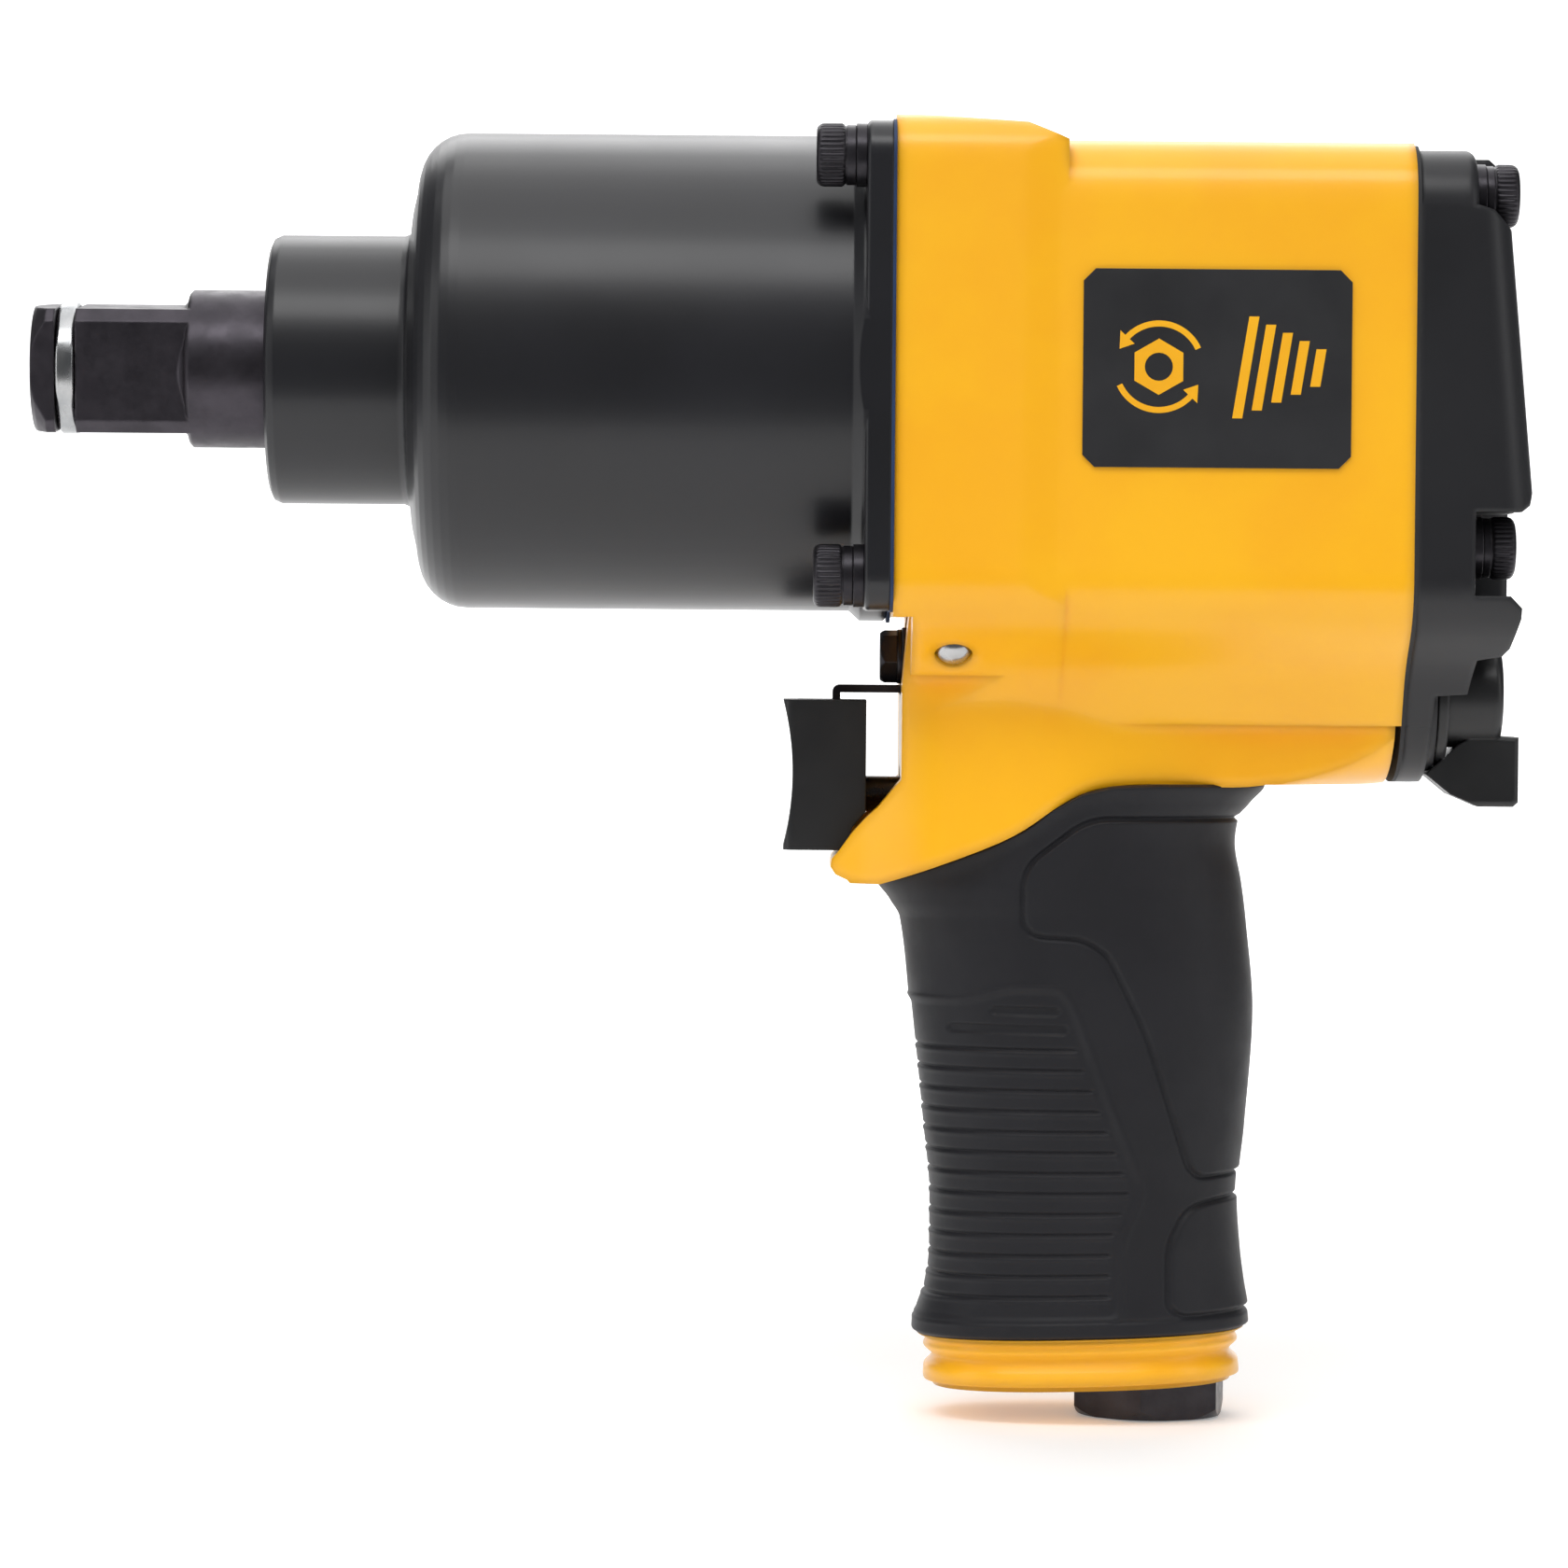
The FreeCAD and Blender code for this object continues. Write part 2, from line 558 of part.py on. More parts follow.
def make_housing():
    barrel = fuse([barrel_block(HOUSE_X0, HOUSE_X1, HOUSE_TOP, 9.0), front_band()])
    barrel = barrel.cut(box(HOUSE_X0 - 1, 111.9, -60, 60, -60, -37.6))
    # the flow into the neck dies out towards the finger opening
    for sign in (-1, 1):
        barrel = barrel.cut(prism_z([(x, sign * y) for x, y in NECK_SHAVE], -70, -46.4))
    neck = neck_block().cut(below_parting())
    core = handle(GRIP_T).cut(box(90, 113, -60, 60, -78, -50))
    body = fuse([barrel, neck, core])
    body = body.cut(cyl_x(33.5, HOUSE_X0 - 1, 111.9)).cut(cyl_x(MOTOR_R, 111, HOUSE_X1 + 1))
    for y, z in corners(FRONT_BOLT):
        body = body.cut(cyl_x(SCREW_R, HOUSE_X0 - 1, 127.0, y, z))
    for y, z in corners(REAR_BOLT):
        body = body.cut(cyl_x(SCREW_R, 160.0, HOUSE_X1 + 1, y, z))
    # trigger pocket, guide seat and rod bore
    body = body.cut(box(95, 110.7, -9.2, 9.2, -74.2, -45))
    body = body.cut(box(105, 112.1, -6.2, 6.2, -49.6, -37.6))
    body = body.cut(cyl_x(2.5, 105, 126, 0, GUIDE_Z))
    body = body.cut(cyl_x(4.5, 105, 123.0, 0, ROD_Z)).cut(cyl_x(3.2, 120, STEM_X, 0, ROD_Z))
    # air way: inlet, valve chamber, reverse valve, ports to the motor
    body = body.cut(cyl_z(9.5, GRIP_Z1 - 1, -134.0, STEM_X))
    body = body.cut(cyl_z(8.2, -134.5, SEAT_Z + 3.0, STEM_X))
    body = body.cut(cyl_z(7.0, SEAT_Z, -54.0, STEM_X)).cut(cyl_z(7.0, -80.0, -54.0, STEM_X + 2.6))
    body = body.cut(cyl_x(7.0, 146.0, 161.0, 0, VALVE_Z)).cut(cyl_z(7.0, -56.0, VALVE_Z, STEM_X + 1))
    body = body.cut(cyl_x(10.0, 160.5, HOUSE_X1 + 1, 0, VALVE_Z))
    for sign in (-1, 1):
        body = body.cut(cyl_z(2.5, -46.0, -25.0, 171.0, sign * 7))
        body = body.cut(box(119.5, 131.5, *sorted((sign * 5.6, sign * 12.4)), GRIP_Z1 - 1, -25.0))
    body = body.cut(Part.makeCylinder(2.9, 11, PLUG_AT - PLUG_AXIS * 3, PLUG_AXIS))
    return body


housing = make_housing()
save("motor_housing", housing)
save("passage_plug", Part.makeSphere(2.9, PLUG_AT + PLUG_AXIS * 1.6))


# ---- rubber grip ----
def make_grip():
    grip = handle(0.0).common(below_parting())
    grip = grip.cut(handle(GRIP_T))
    # level finger grooves across the front
    grooves = []
    for k in range(11):
        z = -105.0 - 3.14 * k
        grooves.append(box(100, 126, -30, 30, z - 0.5, z + 0.5))
    return grip.cut(Part.makeCompound(grooves).cut(handle(0.7)))


save("grip", make_grip())


# ---- exhaust deflector, inlet, strainer ----
# Side of the deflector: drop below the grip and inset of the oval.
DEFLECTOR_PROFILE = [(0.0, 0.7), (0.7, 0.0), (2.0, 0.1), (3.1, 1.0), (3.7, 1.35), (4.3, 1.0), (5.1, 0.15),
                     (6.1, 0.0), (7.3, 0.3), (8.2, 1.4)]


def make_deflector():
    rings = []
    for drop, inset in DEFLECTOR_PROFILE:
        rings.append(oval(139.5, 24.5 - inset, 18.8 - inset, GRIP_Z1 - drop))
    body = Part.makeLoft(rings, True, False)
    body.rotate(V(139.5, 0, GRIP_Z1), V(0, 1, 0), -HEEL_TILT)
    body = body.cut(cyl_z(9.7, DEFLECT_Z1 - 2, GRIP_Z1 + 2, STEM_X))
    for k in range(5):
        y = -8.8 + 4.4 * k
        body = body.cut(box(123.5, 134.5, y - 1.2, y + 1.2, DEFLECT_Z1 - 2, GRIP_Z1 - 2.4))
    return body.cut(box(122.5, 135.5, -10.6, 10.6, GRIP_Z1 - 2.5, GRIP_Z1 + 2))


deflector = make_deflector()
save("exhaust_deflector", deflector)

INLET_TOP = DEFLECT_Z1 + 0.8
hex_points = []
for k in range(6):
    a = math.radians(60 * k + 21)
    hex_points.append((STEM_X + 12.7 * math.cos(a), 12.7 * math.sin(a)))
hexagon = prism_z(hex_points, INLET_Z1, INLET_TOP)
trim = Part.makeCone(11.2, 15.2, 4.0, V(STEM_X, 0, INLET_Z1), V(0, 0, 1))
trim = trim.fuse(cyl_z(15.2, INLET_Z1 + 4, INLET_TOP, STEM_X))
inlet = fuse([hexagon.common(trim).cut(deflector), cyl_z(9.5, DEFLECT_Z1 - 1, -134.0, STEM_X)])
inlet = inlet.cut(cyl_z(INLET_R, INLET_Z1, INLET_Z1 + 12.0, STEM_X))
inlet = inlet.cut(Part.makeCone(8.4, INLET_R, 1.0, V(STEM_X, 0, INLET_Z1), V(0, 0, 1)))
inlet = inlet.cut(cyl_z(6.2, INLET_Z1, -130, STEM_X))
save("inlet_bushing", inlet)

strainer = cyl_z(8.1, -134.0, -133.2, STEM_X).fuse(cyl_z(5.4, -134.0, -118.0, STEM_X)).removeSplitter()
strainer = strainer.cut(cyl_z(4.8, -135.0, -118.6, STEM_X))
for level in range(5):
    for k in range(4):
        hole = cyl_x(0.9, -7, 7, 0, -131.0 + 2.8 * level)
        hole.rotate(V(0, 0, 0), V(0, 0, 1), 45 * k + 22.5 * (level % 2))
        hole.translate(V(STEM_X, 0, 0))
        strainer = strainer.cut(hole)
save("inlet_strainer", strainer)


# ---- throttle ----
def spring(r, wire, z0, z1, turns):
    height = z1 - z0 - wire
    helix = Part.makeHelix(height / turns, height, r)
    start = Part.Wire([Part.makeCircle(wire / 2, V(r, 0, 0), V(0, 1, 0))])
    coil = Part.Wire(helix).makePipeShell([start], True, True)
    coil.translate(V(0, 0, z0 + wire / 2))
    return coil


seat = cyl_z(8.2, SEAT_Z, SEAT_Z + 3.0, STEM_X).cut(cyl_z(5.0, SEAT_Z - 1, SEAT_Z + 4, STEM_X))
save("throttle_seat", seat)
DISC_TOP = SEAT_Z - 0.3
disc = cyl_z(6.5, DISC_TOP - 2.5, DISC_TOP, STEM_X)
disc = bevel(disc, 0.6, lambda e: flat_at_z(e, DISC_TOP - 2.5))
stem = cyl_z(STEM_R, DISC_TOP - 1, ROD_Z + 2.0, STEM_X)
stem = soften(stem, 0.7, lambda e: flat_at_z(e, ROD_Z + 2.0))
save("throttle_valve", fuse([disc, stem]))
valve_spring = spring(6.7, 0.9, -133.2, DISC_TOP - 2.5, 9)
valve_spring.translate(V(STEM_X, 0, 0))
save("throttle_spring", valve_spring)
save("trigger_bushing", ring_x(4.5, ROD_R + 0.05, 111.2, 123.0, 0, ROD_Z))
rod = cyl_x(ROD_R, 98.0, 148.5, 0, ROD_Z)
rod = soften(rod, 1.0, lambda e: flat_at_x(e, 148.5))
save("trigger_rod", rod)


def make_trigger():
    side = prism_y([(92.6, -50.4), (105.4, -50.4), (105.4, -67.6), (103.4, -70.0), (102.4, -73.6),
                    (92.7, -73.6)], -8.4, 8.4)
    body = soften(side, 1.6, lambda e: at(e.BoundBox.XMax, e.BoundBox.XMin, 0.3)
                  and e.BoundBox.ZLength > 20 and e.BoundBox.XMin < 93)
    body = body.cut(cyl_y(45.0, -20, 20, 49.1, -62.0))
    body = body.cut(box(94.9, 101.9, -3.5, 3.5, -54.9, -49))
    return body.cut(rod)


save("trigger", make_trigger())

# ---- trigger guide ----
plate = box(110.9, 112.1, -5.2, 5.2, -49.3, -39.2)
strip = box(100.2, 112.1, -3.0, 3.0, -49.3, -48.1)
leg = box(100.2, 101.4, -3.0, 3.0, -54.3, -48.1)
bracket = fuse([plate, strip, leg])
bracket = soften(bracket, 1.1, lambda e: spans(e, "y") and at(e.BoundBox.XMin, 100.2)
                 and at(e.BoundBox.ZMax, -48.1))
save("guide_bracket", bracket.cut(cyl_x(2.7, 109, 114, 0, GUIDE_Z)))
save("guide_washer", ring_x(4.2, 2.7, 110.2, 110.9, 0, GUIDE_Z))
head = hex_x(7.4, 107.5, 110.2, 0, GUIDE_Z, 12)
head = head.common(Part.makeCone(3.6, 6.0, 2.7, V(107.5, 0, GUIDE_Z), V(1, 0, 0)))
save("guide_screw", fuse([head, cyl_x(2.5, 109.0, 123.0, 0, GUIDE_Z)]))


# ---- rear cover ----
def make_cover():
    x0 = HOUSE_X1 + REAR_GASKET_T
    base = barrel_block(x0, SEAT_X, COVER_TOP, 9.0)
    base = base.cut(box(x0, SEAT_X + 1, -60, 60, -60, -34.5))
    base = soften(base, 1.6, lambda e: flat_at_x(e, SEAT_X) and e.BoundBox.ZMax > -20)
    dome = prism_y([
        (x0, COVER_TOP - 0.8), (198.9, COVER_TOP - 0.8), (200.0, 31.4), (201.9, 21.0), (204.8, -18.0),
        (204.2, -20.2), (202.8, -21.2), (x0, -21.2),
    ], -20.8, 20.8)
    cheek = prism_y([
        (x0, 24.6), (195.8, 24.6), (198.2, 23.9), (201.3, 20.9), (204.8, -18.0), (204.2, -20.2),
        (202.8, -21.2), (x0, -21.2),
    ], -HOUSE_Y, HOUSE_Y)
    cheek = soften(cheek, 5.5, lambda e: e.BoundBox.ZLength > 30 and e.BoundBox.XMin > 201)
    ears = prism_y([
        (x0, -21), (195.8, -21), (195.8, -33.8), (201.2, -33.8), (203.0, -35.6), (203.0, -37.2),
        (201.9, -41.7), (200.9, -42.9), (197.3, -43.5), (196.4, -48.7), (191.5, -49.0),
        (191.0, -62.4), (x0, -62.6),
    ], -40, 40)
    ears = ears.common(fuse([barrel_block(x0, 210, COVER_TOP, 9.0), smooth_prism_x(REAR_U, x0, 210)]))
    ears = ears.cut(box(191.9, 210, -11.6, 11.6, -70, -37.5))
    rib = box(x0, 204.4, -4.2, 4.2, -37.4, -20.0)
    rib = soften(rib, 1.2, lambda e: flat_at_x(e, 204.4))
    collar = cyl_x(11.9, x0, COLLAR_X1, 0, VALVE_Z)
    spigot = ring_x(MOTOR_R, 26.5, 176.0, x0 + 1)
    cover = fuse([base, dome, cheek, ears, rib, collar, spigot])
    cover = cover.cut(cyl_x(26.5, 170, 192.0)).cut(cyl_x(17.0, 170, 199.0))
    cover = cover.cut(cyl_x(VALVE_R + 0.05, x0 - 1, 194, 0, VALVE_Z))
    for y, z in corners(REAR_BOLT):
        cover = cover.cut(cyl_x(SCREW_R + 0.3, x0 - 1, 210, y, z))
        cover = cover.cut(cyl_x(6.3, SEAT_X, 215, y, z))
    cover = cover.cut(cyl_x(1.25, 187.4, 194, 0, VALVE_Z - DETENT_AT))
    return cover


cover = make_cover()
save("rear_cover", cover)
rear_gasket = barrel_block(HOUSE_X1, HOUSE_X1 + REAR_GASKET_T, HOUSE_TOP - 0.4, 9.0)
rear_gasket = fuse([rear_gasket, smooth_prism_x(REAR_U, HOUSE_X1, HOUSE_X1 + REAR_GASKET_T)])
rear_gasket = rear_gasket.cut(cyl_x(MOTOR_R, 180, 190)).cut(cyl_x(10.0, 180, 190, 0, VALVE_Z))
for y, z in corners(REAR_BOLT):
    rear_gasket = rear_gasket.cut(cyl_x(SCREW_R + 0.3, 180, 190, y, z))
save("rear_gasket", rear_gasket)
rear_head = SEAT_X + WASHER_T
save("rear_cap_screws", [cap_screw(rear_head - 34, rear_head, y, z, REAR_HEAD_L)
                         for y, z in corners(REAR_BOLT)])
save("rear_spring_washers", [spring_washer(SEAT_X, y, z) for y, z in corners(REAR_BOLT)])

# ---- reverse valve and knob ----
sleeve = ring_x(10.0, VALVE_R + 0.05, 161.0, HOUSE_X1, 0, VALVE_Z)
for sign in (-1, 1):
    sleeve = sleeve.cut(cyl_z(2.5, VALVE_Z + 4, VALVE_Z + 12, 171.0, sign * 7))
save("reverse_valve_sleeve", sleeve)
valve = cyl_x(VALVE_R, 161.4, 193.3, 0, VALVE_Z)
valve = valve.cut(cyl_x(5.4, 160, 178.0, 0, VALVE_Z))
port = cyl_z(2.4, 0, 12, 171.0, 0)
port.translate(V(0, 0, VALVE_Z))
valve = valve.cut(port).cut(cyl_x(2.0, 182.0, 195, 0, VALVE_Z))
save("reverse_valve", valve)


def make_knob():
    z = VALVE_Z
    flange = cyl_x(10.9, 193.3, 195.0, 0, z)
    flange = soften(flange, 0.5, lambda e: flat_at_x(e, 195.0))
    body = cyl_x(8.2, 194.0, 203.7, 0, z)
    body = soften(body, 1.4, lambda e: flat_at_x(e, 203.7))
    tab = prism_y([
        (192.0, -61.2), (197.0, -56.6), (200.0, -55.0), (206.4, -55.4), (206.4, -65.5), (205.6, -66.2),
        (200.2, -66.2), (195.8, -64.3),
    ], -4.6, 4.6)
    tab = soften(tab, 0.9, lambda e: e.BoundBox.XMin > 198 and e.BoundBox.YLength < 0.01)
    tab = tab.cut(cyl_x(12.2, 190, COLLAR_X1 + 0.3, 0, z))
    knob = fuse([flange, body, tab])
    knob = knob.cut(cyl_x(2.1, 190, 205, 0, z)).cut(cyl_x(4.2, 200.6, 206, 0, z))
    knob = knob.cut(Part.makeTorus(DETENT_AT, 1.2, V(DETENT_X, 0, z), V(1, 0, 0)))
    for turn in (-50, 0, 50):
        a = math.radians(turn)
        spot = V(DETENT_X, DETENT_AT * math.sin(a), z - DETENT_AT * math.cos(a))
        knob = knob.cut(Part.makeSphere(1.4, spot))
    return knob


save("reverse_knob", make_knob())
screw = fuse([cyl_x(4.0, 200.6, 203.2, 0, VALVE_Z), cyl_x(2.0, 184.0, 201.0, 0, VALVE_Z)])
save("knob_screw", screw.cut(hex_x(3.0, 201.6, 204, 0, VALVE_Z)))
save("detent_ball", Part.makeSphere(1.1, V(DETENT_X, 0, VALVE_Z - DETENT_AT)))
detent = spring(0.85, 0.35, 187.4, 191.65, 4)
detent.rotate(V(0, 0, 0), V(0, 1, 0), 90)
detent.translate(V(0, 0, VALVE_Z - DETENT_AT))
save("detent_spring", detent)

# ---- label plate ----
x0, x1, z0, z1, c = 136.9, 177.0, -15.0, 14.6, 1.8
label = prism_y([(x0 + c, z0), (x1 - c, z0), (x1, z0 + c), (x1, z1 - c), (x1 - c, z1), (x0 + c, z1),
                 (x0, z1 - c), (x0, z0 + c)], -HOUSE_Y - 0.5, -HOUSE_Y)
save("label_plate", label)
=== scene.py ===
import json
import math

import bmesh
import bpy
import numpy as np
from mathutils import Matrix, Vector


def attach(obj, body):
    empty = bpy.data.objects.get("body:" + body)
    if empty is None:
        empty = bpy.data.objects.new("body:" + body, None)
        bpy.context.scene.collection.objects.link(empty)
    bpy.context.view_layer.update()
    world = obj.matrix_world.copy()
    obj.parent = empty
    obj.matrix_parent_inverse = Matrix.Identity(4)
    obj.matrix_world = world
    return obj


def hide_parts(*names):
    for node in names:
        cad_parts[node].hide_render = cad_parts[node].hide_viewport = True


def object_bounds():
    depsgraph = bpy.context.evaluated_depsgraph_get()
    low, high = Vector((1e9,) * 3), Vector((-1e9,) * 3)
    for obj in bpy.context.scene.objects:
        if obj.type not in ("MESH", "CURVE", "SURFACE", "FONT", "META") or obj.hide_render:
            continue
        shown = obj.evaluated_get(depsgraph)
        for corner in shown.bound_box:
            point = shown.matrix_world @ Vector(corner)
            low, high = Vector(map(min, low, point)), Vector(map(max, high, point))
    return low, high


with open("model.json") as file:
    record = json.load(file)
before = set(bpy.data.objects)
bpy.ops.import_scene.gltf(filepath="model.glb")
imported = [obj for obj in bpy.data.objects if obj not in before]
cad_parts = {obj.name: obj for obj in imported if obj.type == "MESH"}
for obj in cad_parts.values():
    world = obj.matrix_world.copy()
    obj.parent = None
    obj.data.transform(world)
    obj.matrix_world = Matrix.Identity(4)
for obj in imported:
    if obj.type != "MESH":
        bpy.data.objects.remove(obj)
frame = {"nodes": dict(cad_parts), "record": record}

# Looks of the impact wrench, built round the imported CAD. Metres; MM turns millimetres into metres.
MM = 0.001
cad_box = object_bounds()
nodes = frame["nodes"]


# ---------------------------------------------------------------- materials
class Graph:
    """Short names for building one node material in object coordinates."""

    def __init__(self, name):
        self.mat = bpy.data.materials.new(name)
        self.mat.use_nodes = True
        self.tree = self.mat.node_tree
        self.bsdf = self.tree.nodes["Principled BSDF"]
        self.coord = self.tree.nodes.new("ShaderNodeTexCoord").outputs["Object"]

    def node(self, kind, **settings):
        n = self.tree.nodes.new(kind)
        for key, value in settings.items():
            setattr(n, key, value)
        return n

    def link(self, a, b):
        self.tree.links.new(a, b)
        return b

    def put(self, socket, value):
        """Set a socket from a number, a colour or another socket."""
        if isinstance(value, bpy.types.NodeSocket):
            self.link(value, socket)
        else:
            socket.default_value = value

    def noise(self, scale, detail=3.0, rough=0.55, distortion=0.0, stretch=None):
        vector = self.coord
        if stretch:
            m = self.node("ShaderNodeMapping")
            m.inputs["Scale"].default_value = stretch
            self.link(self.coord, m.inputs["Vector"])
            vector = m.outputs["Vector"]
        n = self.node("ShaderNodeTexNoise")
        self.link(vector, n.inputs["Vector"])
        n.inputs["Scale"].default_value = scale
        n.inputs["Detail"].default_value = detail
        n.inputs["Roughness"].default_value = rough
        n.inputs["Distortion"].default_value = distortion
        return n.outputs["Fac"]

    def voronoi(self, scale, feature="F1"):
        n = self.node("ShaderNodeTexVoronoi", feature=feature)
        self.link(self.coord, n.inputs["Vector"])
        n.inputs["Scale"].default_value = scale
        return n.outputs["Distance"]

    def math(self, op, a, b=0.0, clamp=False):
        n = self.node("ShaderNodeMath", operation=op, use_clamp=clamp)
        self.put(n.inputs[0], a)
        self.put(n.inputs[1], b)
        return n.outputs[0]

    def ramp(self, fac, low, high, a=0.0, b=1.0):
        """fac from low..high becomes a..b, clamped and smooth."""
        n = self.node("ShaderNodeMapRange", interpolation_type="SMOOTHSTEP")
        self.put(n.inputs["Value"], fac)
        n.inputs["From Min"].default_value = low
        n.inputs["From Max"].default_value = high
        n.inputs["To Min"].default_value = a
        n.inputs["To Max"].default_value = b
        return n.outputs["Result"]

    def mix(self, fac, a, b, blend="MIX"):
        n = self.node("ShaderNodeMix", data_type="RGBA", blend_type=blend)
        self.put(n.inputs[0], fac)
        for socket, value in ((n.inputs[6], a), (n.inputs[7], b)):
            if isinstance(value, tuple) and len(value) == 3:
                value = (*value, 1.0)
            self.put(socket, value)
        return n.outputs[2]

    def bump(self, height, strength, distance, normal=None):
        n = self.node("ShaderNodeBump")
        n.inputs["Strength"].default_value = strength
        n.inputs["Distance"].default_value = distance
        self.link(height, n.inputs["Height"])
        if normal is not None:
            self.link(normal, n.inputs["Normal"])
        return n.outputs["Normal"]

    def round_edges(self, radius):
        n = self.node("ShaderNodeBevel", samples=6)
        n.inputs["Radius"].default_value = radius
        return n.outputs["Normal"]

    def edge_mask(self, radius, low=0.02, high=0.25):
        """Bright where the surface turns sharply within radius."""
        n = self.round_edges(radius)
        geo = self.node("ShaderNodeNewGeometry")
        dot = self.node("ShaderNodeVectorMath", operation="DOT_PRODUCT")
        self.link(n, dot.inputs[0])
        self.link(geo.outputs["Normal"], dot.inputs[1])
        away = self.math("SUBTRACT", 1.0, dot.outputs["Value"])
        return self.ramp(away, low, high)

    def finish(self, color, rough, normal=None, metallic=0.0, **constants):
        self.put(self.bsdf.inputs["Base Color"], color)
        self.put(self.bsdf.inputs["Roughness"], rough)
        self.put(self.bsdf.inputs["Metallic"], metallic)
        if normal is not None:
            self.link(normal, self.bsdf.inputs["Normal"])
        for key, value in constants.items():
            self.bsdf.inputs[key.replace("_", " ")].default_value = value
        return self.mat


def srgb(r, g, b):
    def lin(v):
        v = v / 255
        return v / 12.92 if v <= 0.04045 else ((v + 0.055) / 1.055) ** 2.4
    return (lin(r), lin(g), lin(b))


def painted(name, color, deep, bare_and_highlight_tone, rough, grain, edge=0.0008, wear_and_highlight=0.25, coat=0.0):
    """Sprayed paint on a casting: orange peel, faint mottling, thin chipped edges that on dark paint also
    act as a painted edge highlight, dust in places.
    """
    g = Graph(name)
    mottle = g.ramp(g.noise(38.0, 4.0), 0.35, 0.7)
    tone = g.mix(mottle, color, deep)
    specks = g.ramp(g.noise(900.0, 2.0), 0.68, 0.76)
    tone = g.mix(g.math("MULTIPLY", specks, 0.12), tone, deep)
    broken = g.ramp(g.noise(420.0, 5.0, 0.7), 0.5, 0.66)
    # edge mark: paint chipped through at the edges, which on dark paint also gives a painted edge highlight
    wear_and_highlight_mask = g.math("MULTIPLY", g.math("MULTIPLY", g.edge_mask(edge * 0.6, 0.05, 0.3), broken), wear_and_highlight)
    tone = g.mix(wear_and_highlight_mask, tone, bare_and_highlight_tone)
    peel = g.noise(grain, 2.0, 0.5)
    fine = g.noise(grain * 3.4, 3.0, 0.6)
    height = g.math("ADD", peel, g.math("MULTIPLY", fine, 0.35))
    normal = g.bump(height, 0.12, 0.00004, g.round_edges(edge))
    gloss = g.ramp(g.noise(30.0, 3.0, 0.5), 0.25, 0.75, rough - 0.03, rough + 0.04)
    return g.finish(tone, gloss, normal, Coat_Weight=coat, Coat_Roughness=0.18)


def metal(name, color, deep, rough, lines=None, edge=0.0003, wear_and_highlight=0.4, bright=(0.6, 0.6, 0.6),
          metallic=1.0):
    """Machined or treated steel. lines is the stretch of the tool marks."""
    g = Graph(name)
    cloud = g.ramp(g.noise(120.0, 5.0, 0.6), 0.3, 0.7)
    tone = g.mix(cloud, color, deep)
    edge_breakup = g.ramp(g.noise(600.0, 4.0, 0.7), 0.45, 0.65)
    # edge mark: edges mixed towards the brighter colour, rubbed steel and also a painted edge highlight
    wear_and_highlight_mask = g.math("MULTIPLY", g.math("MULTIPLY", g.edge_mask(edge, 0.04, 0.3), edge_breakup), wear_and_highlight)
    tone = g.mix(wear_and_highlight_mask, tone, bright)
    marks = g.noise(1.0, 3.0, 0.6, stretch=lines) if lines else g.noise(1800.0, 3.0)
    normal = g.bump(marks, 0.14, 0.00004, g.round_edges(edge))
    gloss = g.ramp(g.noise(260.0, 5.0, 0.65), 0.3, 0.7, rough - 0.07, rough + 0.08)
    return g.finish(tone, gloss, normal, metallic)


def soft(name, color, deep, rough, grain, strength, depth, edge=0.0004, sheen=0.0, gleam=0.5):
    """Moulded rubber or plastic with a fine grain."""
    g = Graph(name)
    tone = g.mix(g.ramp(g.noise(55.0, 4.0), 0.35, 0.7), color, deep)
    dust = g.ramp(g.noise(170.0, 6.0, 0.7), 0.6, 0.85, 0.0, 0.14)
    tone = g.mix(dust, tone, tuple(min(1.0, c * 2.2 + 0.01) for c in color))
    cells = g.voronoi(grain)
    fine = g.noise(grain * 1.7, 3.0, 0.6)
    height = g.math("ADD", g.math("MULTIPLY", cells, 0.7), g.math("MULTIPLY", fine, 0.5))
    normal = g.bump(height, strength, depth, g.round_edges(edge))
    gloss = g.ramp(g.noise(90.0, 5.0, 0.65), 0.3, 0.7, rough - 0.05, rough + 0.06)
    return g.finish(tone, gloss, normal, Sheen_Weight=sheen, Sheen_Roughness=0.4, Specular_IOR_Level=gleam)


YELLOW = painted("yellow_paint", srgb(255, 186, 8), srgb(252, 178, 8),
                 bare_and_highlight_tone=srgb(120, 115, 105), rough=0.34, grain=900.0, edge=0.0030, wear_and_highlight=0.06, coat=0.25)
BLACK_PAINT = painted("black_paint", srgb(27, 27, 31), srgb(24, 24, 27),
                      bare_and_highlight_tone=srgb(100, 98, 96), rough=0.33, grain=1100.0, edge=0.0006, wear_and_highlight=0.10,
                      coat=0.1)
BLACK_COVER = painted("black_cover", srgb(28, 28, 31), srgb(24, 24, 27),
                      bare_and_highlight_tone=srgb(100, 98, 96), rough=0.42, grain=1200.0, edge=0.0012, wear_and_highlight=0.10)
OXIDE = metal("black_oxide", srgb(62, 60, 64), srgb(48, 46, 50),
              rough=0.36, edge=0.0003, wear_and_highlight=0.3, bright=srgb(150, 148, 148), metallic=0.8)
DRIVE = metal("drive_steel", srgb(74, 70, 76), srgb(60, 57, 62),
              rough=0.38, lines=(700, 60, 60), edge=0.0006, wear_and_highlight=0.3, bright=srgb(160, 158, 158),
              metallic=0.85)
BRIGHT = metal("bright_steel", srgb(190, 190, 190), srgb(160, 162, 164),
               rough=0.26, lines=(2500, 120, 120), edge=0.0002, wear_and_highlight=0.3, bright=srgb(225, 225, 225))
